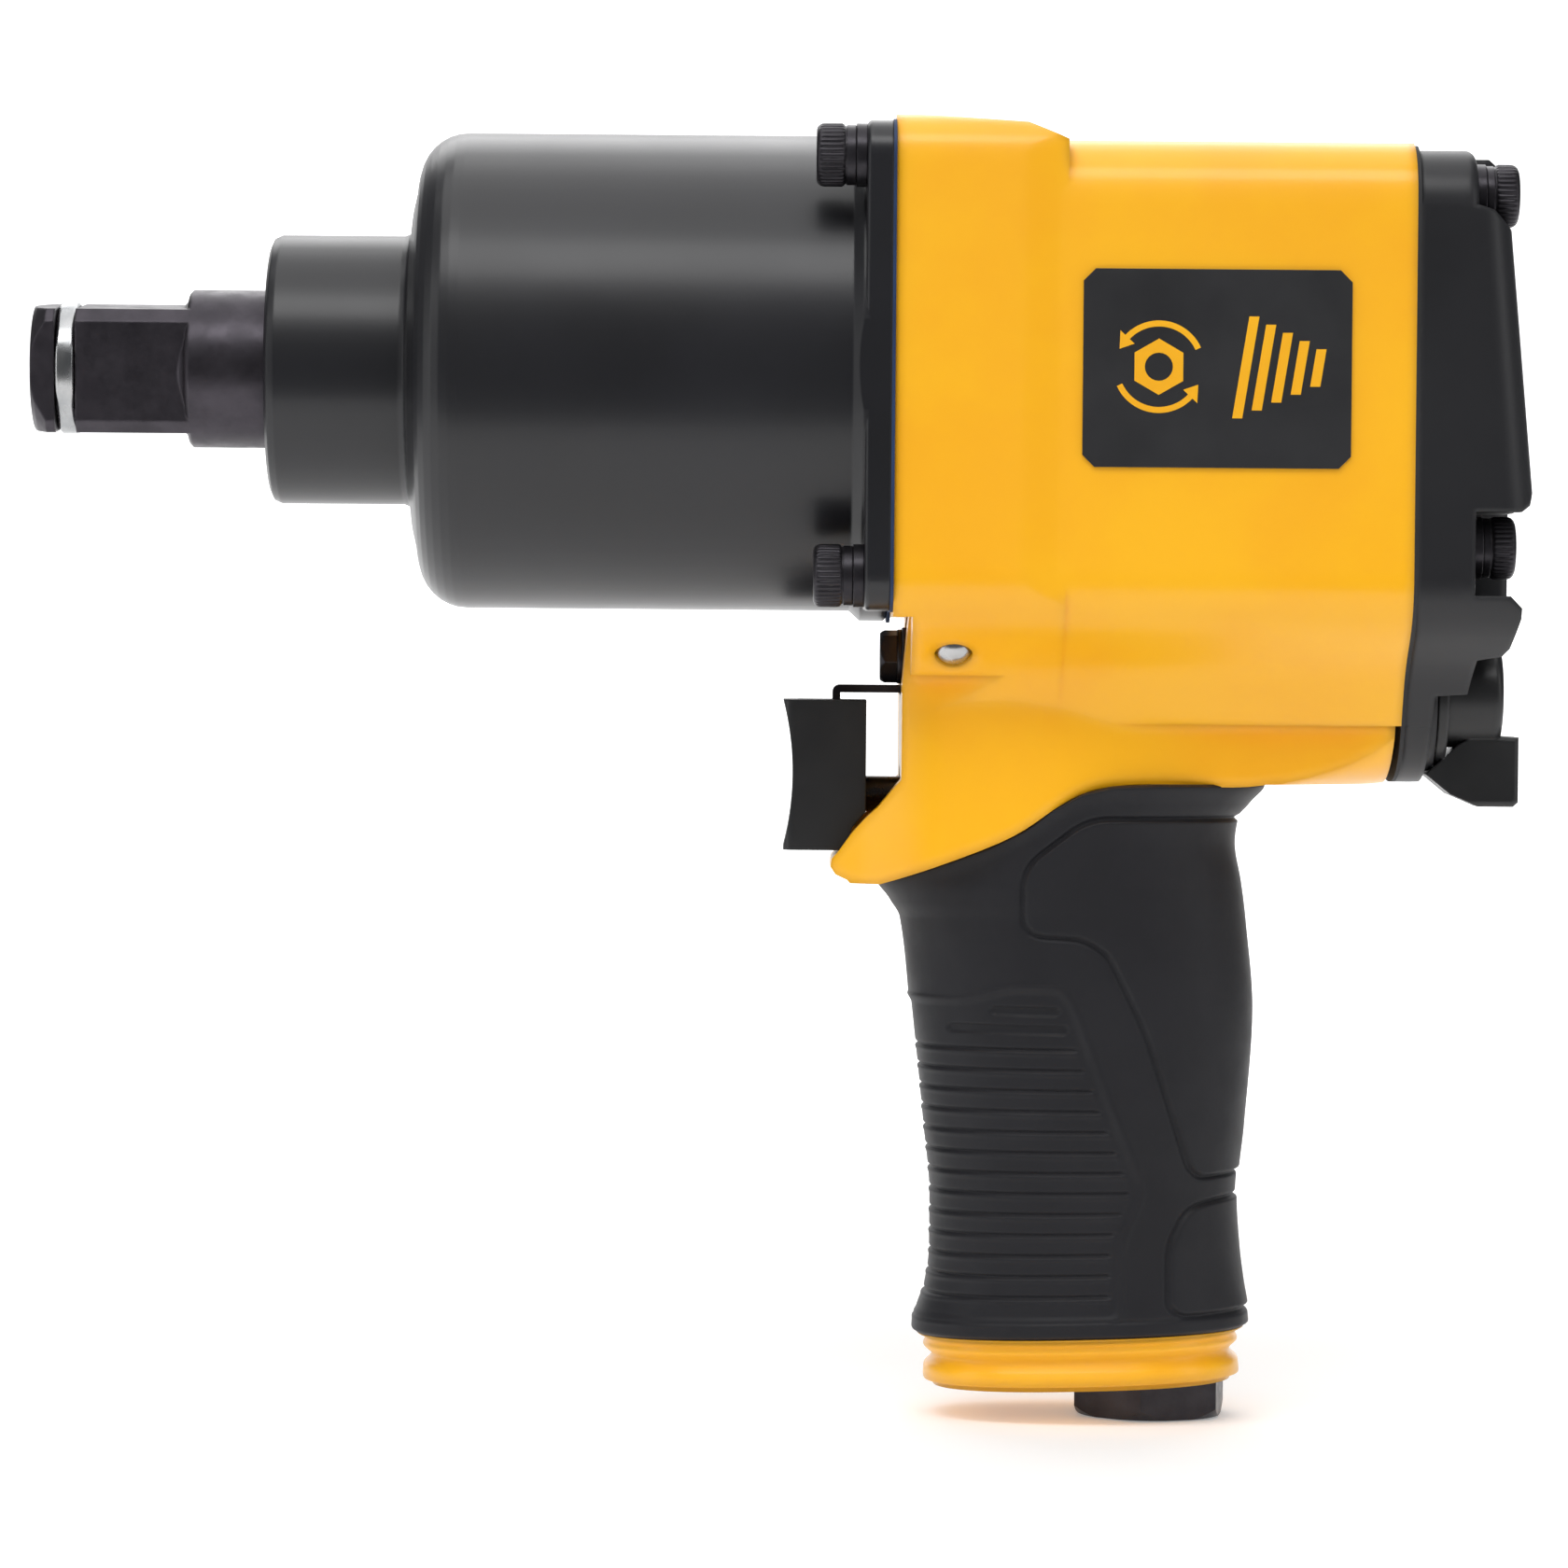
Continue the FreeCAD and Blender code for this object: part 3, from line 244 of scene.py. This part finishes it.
GROUND = metal("machined_steel", srgb(160, 160, 162), srgb(140, 140, 143),
               rough=0.28, lines=(2200, 120, 120), edge=0.0003, wear_and_highlight=0.3, bright=srgb(210, 210, 210))
IRON = metal("machined_iron", srgb(128, 128, 128), srgb(104, 104, 105),
             rough=0.42, lines=(1800, 150, 150), edge=0.0003, wear_and_highlight=0.3, bright=srgb(180, 180, 180))
DARK_ROD = metal("dark_rod", srgb(66, 63, 62), srgb(50, 48, 47),
                 rough=0.30, lines=(1800, 120, 120), edge=0.0003, wear_and_highlight=0.3, bright=srgb(150, 146, 140),
                 metallic=0.9)
BRONZE = metal("bronze", srgb(190, 150, 92), srgb(165, 126, 74),
               rough=0.30, lines=(1800, 120, 120), edge=0.0003, wear_and_highlight=0.3, bright=srgb(225, 190, 130))
RUBBER = soft("grip_rubber", srgb(28, 28, 32), srgb(24, 24, 28),
              rough=0.54, grain=1500.0, strength=0.10, depth=0.00006, edge=0.0003, sheen=0.05,
              gleam=0.30)
SEAL = soft("seal_rubber", srgb(24, 24, 25), srgb(18, 18, 19),
            rough=0.45, grain=1200.0, strength=0.05, depth=0.00004, edge=0.0002)
PLASTIC = soft("black_plastic", srgb(32, 32, 33), srgb(27, 27, 28),
               rough=0.36, grain=2200.0, strength=0.06, depth=0.00004, edge=0.0004)
BLUE = soft("blue_gasket", srgb(26, 52, 92), srgb(20, 40, 74),
            rough=0.6, grain=1600.0, strength=0.2, depth=0.00008, edge=0.0001)
FIBRE = soft("dark_gasket", srgb(40, 40, 42), srgb(30, 30, 31),
             rough=0.7, grain=1600.0, strength=0.2, depth=0.00008, edge=0.0001)
PHENOLIC = soft("vane_composite", srgb(120, 84, 50), srgb(98, 66, 38),
                rough=0.5, grain=1300.0, strength=0.15, depth=0.00006, edge=0.0002)
LABEL = soft("label", srgb(44, 44, 46), srgb(38, 38, 40),
             rough=0.34, grain=2600.0, strength=0.04, depth=0.00003, edge=0.0001)

FINISH = {
    "yellow_paint": YELLOW, "black_paint": BLACK_PAINT, "black_cover": BLACK_COVER, "blue_gasket": BLUE,
    "dark_gasket": FIBRE, "black_oxide": OXIDE, "bronze": BRONZE, "drive_steel": DRIVE,
    "bright_steel": BRIGHT, "machined_steel": GROUND, "machined_iron": IRON, "vane_composite": PHENOLIC,
    "grip_rubber": RUBBER, "seal_rubber": SEAL, "black_plastic": PLASTIC, "label": LABEL,
}
SLOT_OF = {s["node"]: s["material_slot"] for s in frame["record"]["subparts"]}
RODS = ("trigger_rod", "trigger_bushing")
for name, obj in nodes.items():
    obj.data.materials.clear()
    obj.data.materials.append(DARK_ROD if name in RODS else FINISH[SLOT_OF[name]])


# ---------------------------------------------------------------- mesh helpers
def piece(name, verts, faces, body, slot, smooth=None):
    """A new mesh object that rides on a body and takes a record slot's finish."""
    mesh = bpy.data.meshes.new(name)
    mesh.from_pydata([tuple(v) for v in verts], [], faces)
    mesh.update()
    bm = bmesh.new()
    bm.from_mesh(mesh)
    bmesh.ops.recalc_face_normals(bm, faces=bm.faces)
    bm.to_mesh(mesh)
    bm.free()
    obj = bpy.data.objects.new(name, mesh)
    bpy.context.scene.collection.objects.link(obj)
    mesh.materials.append(FINISH[slot])
    for poly in mesh.polygons:
        poly.use_smooth = True
    if smooth is not None:
        mesh.set_sharp_from_angle(angle=math.radians(smooth))
    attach(obj, body)
    return obj


# ---------------------------------------------------------------- rubber grip
# Handle outline by height, in mm: z, front x, rear x, half width.
HANDLE = np.array([
    (-56.0, 108.0, 166.5, 20.6), (-63.2, 107.8, 166.9, 20.6), (-66.0, 107.8, 165.0, 20.3),
    (-68.7, 107.8, 162.9, 20.0), (-72.0, 107.6, 162.5, 19.7), (-78.0, 107.7, 163.5, 19.4),
    (-81.4, 109.4, 164.0, 19.3), (-84.0, 110.9, 164.3, 19.2), (-98.0, 112.6, 165.5, 19.2),
    (-115.6, 114.5, 164.4, 19.0), (-127.2, 115.6, 163.4, 18.7), (-135.0, 115.6, 163.9, 18.8),
    (-140.5, 114.9, 164.6, 19.2), (-144.6, 113.6, 165.3, 19.8), (-147.6, 113.4, 165.6, 20.0),
])
HEEL_TILT = math.radians(1.8)
# Parting line between paint and rubber: x, z.
PARTING = np.array([
    (107.6, -78.5), (113.0, -76.7), (118.7, -74.6), (124.3, -72.4), (129.6, -69.7),
    (134.0, -66.6), (138.4, -64.2), (143.0, -63.1), (150.0, -62.8), (166.6, -62.8),
])


def smooth_through(xs, ys, x):
    """Monotone cubic through the points, so an outline has no overshoot."""
    h = np.diff(xs)
    d = np.diff(ys) / h
    m = np.zeros(len(xs))
    m[1:-1] = np.where(d[:-1] * d[1:] > 0, 2 * d[:-1] * d[1:] / (d[:-1] + d[1:] + 1e-12), 0)
    m[0], m[-1] = d[0], d[-1]
    k = np.clip(np.searchsorted(xs, x) - 1, 0, len(h) - 1)
    t = (x - xs[k]) / h[k]
    a = 2 * t**3 - 3 * t**2 + 1
    b = t**3 - 2 * t**2 + t
    c = -2 * t**3 + 3 * t**2
    e = t**3 - t**2
    return a * ys[k] + b * h[k] * m[k] + c * ys[k + 1] + e * h[k] * m[k + 1]


def distance_to_path(px, pz, path):
    """Distance from points to an open polyline."""
    best = np.full(px.shape, 1e9)
    for (x0, z0), (x1, z1) in zip(path[:-1], path[1:]):
        dx, dz = x1 - x0, z1 - z0
        t = np.clip(((px - x0) * dx + (pz - z0) * dz) / (dx * dx + dz * dz), 0, 1)
        best = np.minimum(best, np.hypot(px - x0 - t * dx, pz - z0 - t * dz))
    return best


def inside(px, pz, loop):
    """True where a point lies in a closed loop."""
    hit = np.zeros(px.shape, bool)
    for (x0, z0), (x1, z1) in zip(loop, loop[1:] + loop[:1]):
        crosses = (z0 > pz) != (z1 > pz)
        with np.errstate(divide="ignore", invalid="ignore"):
            at = x0 + (pz - z0) * (x1 - x0) / (z1 - z0)
        hit ^= crosses & (px < at)
    return hit


def rounded(path, radius, closed=False, steps=5):
    """A polyline with its corners rounded."""
    pts = [np.array(p, float) for p in path]
    n = len(pts)
    out = []
    for i, p in enumerate(pts):
        if not closed and i in (0, n - 1):
            out.append(tuple(p))
            continue
        a, b = pts[i - 1] - p, pts[(i + 1) % n] - p
        cut = min(radius, np.linalg.norm(a) * 0.45, np.linalg.norm(b) * 0.45)
        a, b = p + a / np.linalg.norm(a) * cut, p + b / np.linalg.norm(b) * cut
        for k in range(steps + 1):
            t = k / steps
            out.append(tuple((1 - t) ** 2 * a + 2 * t * (1 - t) * p + t * t * b))
    return out


def step(x, low, high):
    t = np.clip((x - low) / (high - low), 0, 1)
    return t * t * (3 - 2 * t)


RIB_TOP, RIB_PITCH, RIB_COUNT = -103.5, 3.14, 13
PALM = [(190.0, -68.5), (139.3, -68.5), (129.7, -75.8), (129.7, -85.8), (138.6, -86.2), (142.6, -88.6),
        (148.4, -100.2), (152.0, -110.6), (155.5, -121.4), (157.0, -122.9), (190.0, -121.4)]
FRONT = [(80.0, -96.3), (113.0, -96.3), (120.6, -96.3), (126.9, -94.2), (135.2, -94.2), (137.2, -97.2),
         (143.0, -112.4), (147.8, -124.0), (147.8, -126.2), (144.9, -133.2), (144.9, -144.9), (80.0, -144.9)]
LOW = [(190.0, -127.2), (160.5, -127.2), (155.3, -128.3), (152.5, -133.6), (152.5, -142.8), (154.2, -144.2),
       (190.0, -144.2)]


def relief(px, pz):
    """Height of the moulded pattern in mm at side-view points."""
    h = np.zeros(px.shape)
    palm = rounded(PALM, 3.2, True)
    front = rounded(FRONT, 2.4, True)
    low = rounded(LOW, 2.2, True)
    for loop, rise in ((palm, 0.35), (low, 0.3)):
        edge = distance_to_path(px, pz, loop + loop[:1])
        signed = np.where(inside(px, pz, loop), -edge, edge)
        h += rise * step(-signed, -0.25, 0.25)
        h -= 0.46 * np.exp(-((signed - 0.45) / 0.32) ** 2)
    edge = distance_to_path(px, pz, front + front[:1])
    signed = np.where(inside(px, pz, front), -edge, edge)
    h -= 0.34 * step(-signed, -0.1, 1.0)
    h += 0.16 * np.exp(-((signed - 0.3) / 0.35) ** 2)
    depth_in = np.clip(-signed, 0, 50)
    for k in range(RIB_COUNT):
        z = RIB_TOP - RIB_PITCH * k
        off = pz - z
        fade = step(depth_in, 1.3, 2.2)
        h -= 0.40 * np.exp(-(off / 0.26) ** 2) * fade
        h += 0.13 * np.exp(-((off + 0.62) / 0.34) ** 2) * fade
    for x0, x1, z in ((125.3, 134.4, -97.55), (118.6, 135.7, -100.35)):
        slot = distance_to_path(px, pz, [(x0, z), (x1, z - 0.15)])
        h -= 0.42 * step(0.85 - slot, 0.0, 0.35)
    h -= 0.20 * np.exp(-((pz + 145.1) / 0.3) ** 2)
    return h


def make_grip():
    around_n, rows = 440, 520
    power = 2.35
    # even spacing along the outline
    t = np.linspace(0, 2 * math.pi, 8001)
    ex = 26 * np.sign(np.cos(t)) * np.abs(np.cos(t)) ** (2 / power)
    ey = 19 * np.sign(np.sin(t)) * np.abs(np.sin(t)) ** (2 / power)
    run = np.concatenate([[0], np.cumsum(np.hypot(np.diff(ex), np.diff(ey)))])
    t = np.interp(run[-1] * np.arange(around_n) / around_n, run, t)
    cos_t, sin_t = np.cos(t), np.sin(t)
    cx = np.sign(cos_t) * np.abs(cos_t) ** (2 / power)
    cy = np.sign(sin_t) * np.abs(sin_t) ** (2 / power)
    # top edge of each column follows the parting line
    zs = -HANDLE[:, 0]
    top = np.full(around_n, -70.0)
    for _ in range(25):
        front = smooth_through(zs, HANDLE[:, 1], -top)
        rear = smooth_through(zs, HANDLE[:, 2], -top)
        x = (front + rear) / 2 + (rear - front) / 2 * cx
        target = np.interp(x, PARTING[:, 0], PARTING[:, 1])
        top += 0.6 * (target - top)
    low = HANDLE[-1, 0]
    v = np.linspace(0, 1, rows)[:, None]
    z = top[None, :] + (low - top[None, :]) * v
    front = smooth_through(zs, HANDLE[:, 1], -z)
    rear = smooth_through(zs, HANDLE[:, 2], -z)
    half = smooth_through(zs, HANDLE[:, 3], -z)
    a, mid = (rear - front) / 2, (rear + front) / 2
    x = mid + a * cx[None, :]
    y = half * cy[None, :]
    # outward direction of each outline
    tx = np.roll(x, -1, 1) - np.roll(x, 1, 1)
    ty = np.roll(y, -1, 1) - np.roll(y, 1, 1)
    length = np.hypot(tx, ty) + 1e-9
    nx, ny = ty / length, -tx / length
    h = relief(x, z)
    lip = top[None, :] - z
    h += 0.5 * np.exp(-(lip / 1.6) ** 2) - 0.6 * np.exp(-(lip / 0.22) ** 2)
    foot = z - low
    h += 0.12 * step(2.6 - foot, 0, 0.4) - 0.7 * np.exp(-(foot / 0.3) ** 2)
    lean = np.tan(HEEL_TILT * np.clip((-110.0 - z) / (-110.0 - low), 0, 1))
    z = z + (x - mid) * lean
    wall = 2.2
    levels = list(range(0, rows - 1, 20)) + [rows - 1]
    lining = np.stack([x - nx * wall, y - ny * wall, z], -1)[levels].reshape(-1, 3) * MM
    x, y = x + nx * h, y + ny * h
    verts = np.stack([x, y, z], -1).reshape(-1, 3) * MM
    faces = []
    for r in range(rows - 1):
        for c in range(around_n):
            d = (c + 1) % around_n
            near, far = r * around_n, (r + 1) * around_n
            faces.append((near + c, near + d, far + d, far + c))
    # lining on the handle core, joined to the skin at both ends
    m = len(verts)
    for k in range(len(levels) - 1):
        for c in range(around_n):
            d = (c + 1) % around_n
            a, b = m + k * around_n, m + (k + 1) * around_n
            faces.append((a + c, b + c, b + d, a + d))
    for skin, inner in ((0, m), ((rows - 1) * around_n, m + (len(levels) - 1) * around_n)):
        for c in range(around_n):
            d = (c + 1) % around_n
            faces.append((skin + c, skin + d, inner + d, inner + c))
    verts = np.concatenate([verts, lining])
    obj = piece("grip_overmould", verts, faces, "housing", "grip_rubber")
    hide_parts("grip")
    return obj


make_grip()


# ---------------------------------------------------------------- screws
def merge(parts):
    """Join (verts, faces) lists into one."""
    verts, faces = [], []
    for v, f in parts:
        base = len(verts)
        verts.extend(v)
        faces.extend([tuple(base + i for i in face) for face in f])
    return verts, faces


def lathe(profile, spots, along, turn=0.0, count=216, ridges=0):
    """Turned solid about X. profile is (x, radius, ridge depth, hexagon across flats or None) in mm."""
    parts = []
    for cy, cz in spots:
        verts, faces = [], []
        for x, radius, ridge, flats in profile:
            for k in range(count):
                a = 2 * math.pi * k / count
                r = radius
                if ridge:
                    wave = abs(math.sin(a * ridges / 2))
                    r = radius - ridge * (1 - wave) ** 1.5
                if flats:
                    b = (a + turn) % (math.pi / 3) - math.pi / 6
                    r = flats / 2 / math.cos(b)
                verts.append(((along(x)) * MM, (cy + r * math.cos(a)) * MM, (cz + r * math.sin(a)) * MM))
        for i in range(len(profile) - 1):
            for k in range(count):
                d = (k + 1) % count
                faces.append((i * count + k, i * count + d, (i + 1) * count + d, (i + 1) * count + k))
        faces.append(tuple(range(count)))
        faces.append(tuple((len(profile) - 1) * count + k for k in range(count)))
        parts.append((verts, faces))
    return merge(parts)


def cap_screws(name, node, seat, out, head, length, spread):
    """Socket cap screws: knurled head with a plain land at the seat, hexagon socket, plain shank."""
    land = 0.26 * head
    profile = [
        (-length, 2.4, 0, None), (-length + 0.6, 2.95, 0, None), (-0.02, 2.95, 0, None),
        (0.0, 4.35, 0, None), (0.15, 4.5, 0, None), (land - 0.1, 4.5, 0, None), (land, 4.32, 0, None),
        (land + 0.15, 4.35, 0, None), (land + 0.3, 4.55, 0, None), (land + 0.6, 4.74, 0.26, None),
        (head - 1.2, 4.74, 0.26, None), (head - 0.85, 4.70, 0.2, None), (head - 0.5, 4.55, 0, None),
        (head - 0.2, 4.3, 0, None), (head, 3.85, 0, None), (head, 3.0, 0, 5.2), (head - 0.25, 3.0, 0, 5.0),
        (head - 3.1, 3.0, 0, 5.0), (head - 3.2, 2.0, 0, None),
    ]
    spots = [(sy * spread, sz * spread) for sy in (-1, 1) for sz in (-1, 1)]
    verts, faces = lathe(profile, spots, lambda x: seat + out * x, math.radians(30), 216, 36)
    obj = piece(name, verts, faces, "housing", "black_oxide", 38)
    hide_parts(node)


cap_screws("front_knurled_screws", "front_cap_screws", 102.9, -1, 6.0, 22.0, 31.5)
cap_screws("rear_knurled_screws", "rear_cap_screws", 197.6, 1, 5.0, 34.0, 26.5)


# ---------------------------------------------------------------- label print
def flat_shape(outline, hole=None, y=-36.5, thick=0.05):
    """A thin raised print standing on the label, from side-view outlines in mm."""
    n = len(outline)
    verts = [(x * MM, (y - thick) * MM, z * MM) for x, z in outline]
    verts += [(x * MM, y * MM, z * MM) for x, z in outline]
    faces = [(i, (i + 1) % n, n + (i + 1) % n, n + i) for i in range(n)]
    if hole is None:
        faces += [tuple(range(n)), tuple(range(n, 2 * n))]
        return verts, faces
    m = 2 * n
    verts += [(x * MM, (y - thick) * MM, z * MM) for x, z in hole]
    verts += [(x * MM, y * MM, z * MM) for x, z in hole]
    faces += [(m + i, m + (i + 1) % n, m + n + (i + 1) % n, m + n + i) for i in range(n)]
    faces += [(i, (i + 1) % n, m + (i + 1) % n, m + i) for i in range(n)]
    faces += [(n + i, n + (i + 1) % n, m + n + (i + 1) % n, m + n + i) for i in range(n)]
    return verts, faces


def on_circle(cx, cz, r, a):
    return cx + r * math.cos(a), cz + r * math.sin(a)


def arc(cx, cz, r, a0, a1, n):
    return [on_circle(cx, cz, r, a0 + (a1 - a0) * k / (n - 1)) for k in range(n)]


def label_print():
    """Invented decoration: a hexagon nut inside two turning arrows, and a fan of slanted bars."""
    shapes = []
    cx, cz = 148.2, 0.0
    corners = [on_circle(cx, cz, 4.2, math.radians(60 * k + 30)) for k in range(6)]
    # the nut's outline gets as many points as its hole
    nut = []
    for k in range(24):
        a, b = corners[k // 4], corners[(k // 4 + 1) % 6]
        t = (k % 4) / 4
        nut.append((a[0] + (b[0] - a[0]) * t, a[1] + (b[1] - a[1]) * t))
    hole = [on_circle(cx, cz, 2.1, math.radians(30 + 15 * k)) for k in range(24)]
    shapes.append(flat_shape(nut, hole))
    for start in (25, 205):
        a0, a1 = math.radians(start), math.radians(start + 112)
        tip = math.radians(start + 131)
        shapes.append(flat_shape(arc(cx, cz, 6.9, a0, a1, 24) + arc(cx, cz, 6.0, a1, a0, 24)))
        shapes.append(flat_shape([
            on_circle(cx, cz, 7.9, a1), on_circle(cx, cz, 6.45, tip), on_circle(cx, cz, 5.0, a1),
        ]))
    width, slant = 1.5, 0.32
    for k in range(5):
        x = 159.2 + 2.9 * k
        rise = 7.6 - 1.2 * k
        lean = slant * rise
        shapes.append(flat_shape([
            (x, -rise), (x + width, -rise), (x + width + lean, rise), (x + lean, rise),
        ]))
    verts, faces = merge(shapes)
    piece("label_print", verts, faces, "housing", "yellow_paint", 30)


label_print()


# ---------------------------------------------------------------- stage, light, camera
def make_stage():
    """Pale floor that sweeps up into a backdrop, just under the inlet."""
    low = cad_box[0][2] - 0.0002
    profile = [(-0.34, 0.0), (0.9, 0.0)]
    for k in range(1, 13):
        a = math.radians(90 * k / 12)
        profile.append((0.9 + 1.2 * math.sin(a), 1.2 - 1.2 * math.cos(a)))
    profile.append((2.1, 5.0))
    verts = []
    for y, z in profile:
        for x in (-0.9, 1.1):
            verts.append((x, y, low + z))
    faces = [(2 * i, 2 * i + 1, 2 * i + 3, 2 * i + 2) for i in range(len(profile) - 1)]
    mesh = bpy.data.meshes.new("floor")
    mesh.from_pydata(verts, [], faces)
    for poly in mesh.polygons:
        poly.use_smooth = True
    floor = bpy.data.objects.new("floor", mesh)
    bpy.context.scene.collection.objects.link(floor)
    g = Graph("floor_paper")
    tone = g.mix(g.ramp(g.noise(3.0, 3.0), 0.3, 0.7), (0.86, 0.86, 0.86), (0.88, 0.88, 0.88))
    apart = g.node("ShaderNodeSeparateXYZ")
    g.link(g.coord, apart.inputs[0])
    glow = g.mix(g.ramp(apart.outputs["Y"], 0.15, 0.8), (0.24, 0.24, 0.24), (0.90, 0.90, 0.90))
    g.link(glow, g.bsdf.inputs["Emission Color"])
    floor.data.materials.append(g.finish(tone, 0.9, Emission_Strength=1.0))


def light(name, place, target, size, power, color=(1, 1, 1), shape="RECTANGLE"):
    data = bpy.data.lights.new(name, "AREA")
    data.shape = shape
    data.size, data.size_y = size
    data.energy = power
    data.color = color
    obj = bpy.data.objects.new(name, data)
    bpy.context.scene.collection.objects.link(obj)
    obj.location = place
    obj.rotation_euler = (Vector(target) - Vector(place)).to_track_quat("-Z", "Y").to_euler()
    return obj


make_stage()
MIDDLE = (0.09, 0.0, -0.04)
light("sky_box", (0.05, 0.10, 1.15), MIDDLE, (1.5, 1.1), 7)
light("high_front", (-0.10, -0.80, 1.10), MIDDLE, (1.6, 0.5), 11)
fill = light("soft_fill", (0.0, -1.4, 0.45), MIDDLE, (1.6, 1.0), 6)
fill.visible_glossy = False
light("right_box", (1.2, -0.5, 0.35), MIDDLE, (0.4, 1.0), 2)
light("left_box", (-1.1, -0.4, 0.25), MIDDLE, (0.4, 1.0), 2)
light("back_box", (0.1, 1.0, 0.8), MIDDLE, (1.4, 0.6), 4)

# White to the camera, dim to everything else, so dark parts stay dark.
world = bpy.data.worlds.new("studio")
bpy.context.scene.world = world
world.use_nodes = True
tree = world.node_tree
seen = tree.nodes["Background"]
seen.inputs["Color"].default_value = (1.0, 1.0, 1.0, 1)
seen.inputs["Strength"].default_value = 1.0
lit = tree.nodes.new("ShaderNodeBackground")
lit.inputs["Color"].default_value = (0.95, 0.97, 1.0, 1)
lit.inputs["Strength"].default_value = 0.14
path = tree.nodes.new("ShaderNodeLightPath")
pick = tree.nodes.new("ShaderNodeMixShader")
tree.links.new(path.outputs["Is Camera Ray"], pick.inputs[0])
tree.links.new(lit.outputs[0], pick.inputs[1])
tree.links.new(seen.outputs[0], pick.inputs[2])
tree.links.new(pick.outputs[0], tree.nodes["World Output"].inputs["Surface"])

CAMERA_DISTANCE = 0.96
FRAME_WIDTH = 0.2436
EYE = Vector((0.0924, -CAMERA_DISTANCE, -0.03965))
AIM = Vector((0.0928, 0.0, -0.06365))
ROLL = math.radians(0.475)
camera_data = bpy.data.cameras.new("camera")
camera = bpy.data.objects.new("camera", camera_data)
bpy.context.scene.collection.objects.link(camera)
camera.location = EYE
turn = (AIM - EYE).to_track_quat("-Z", "Y").to_matrix()
camera.rotation_euler = (turn @ Matrix.Rotation(ROLL, 3, "Z")).to_euler()
camera_data.sensor_width = 36.0
camera_data.lens = 36.0 * (AIM - EYE).length / FRAME_WIDTH
bpy.context.scene.camera = camera
bpy.context.scene.view_settings.view_transform = "Standard"
bpy.context.scene.view_settings.look = "None"
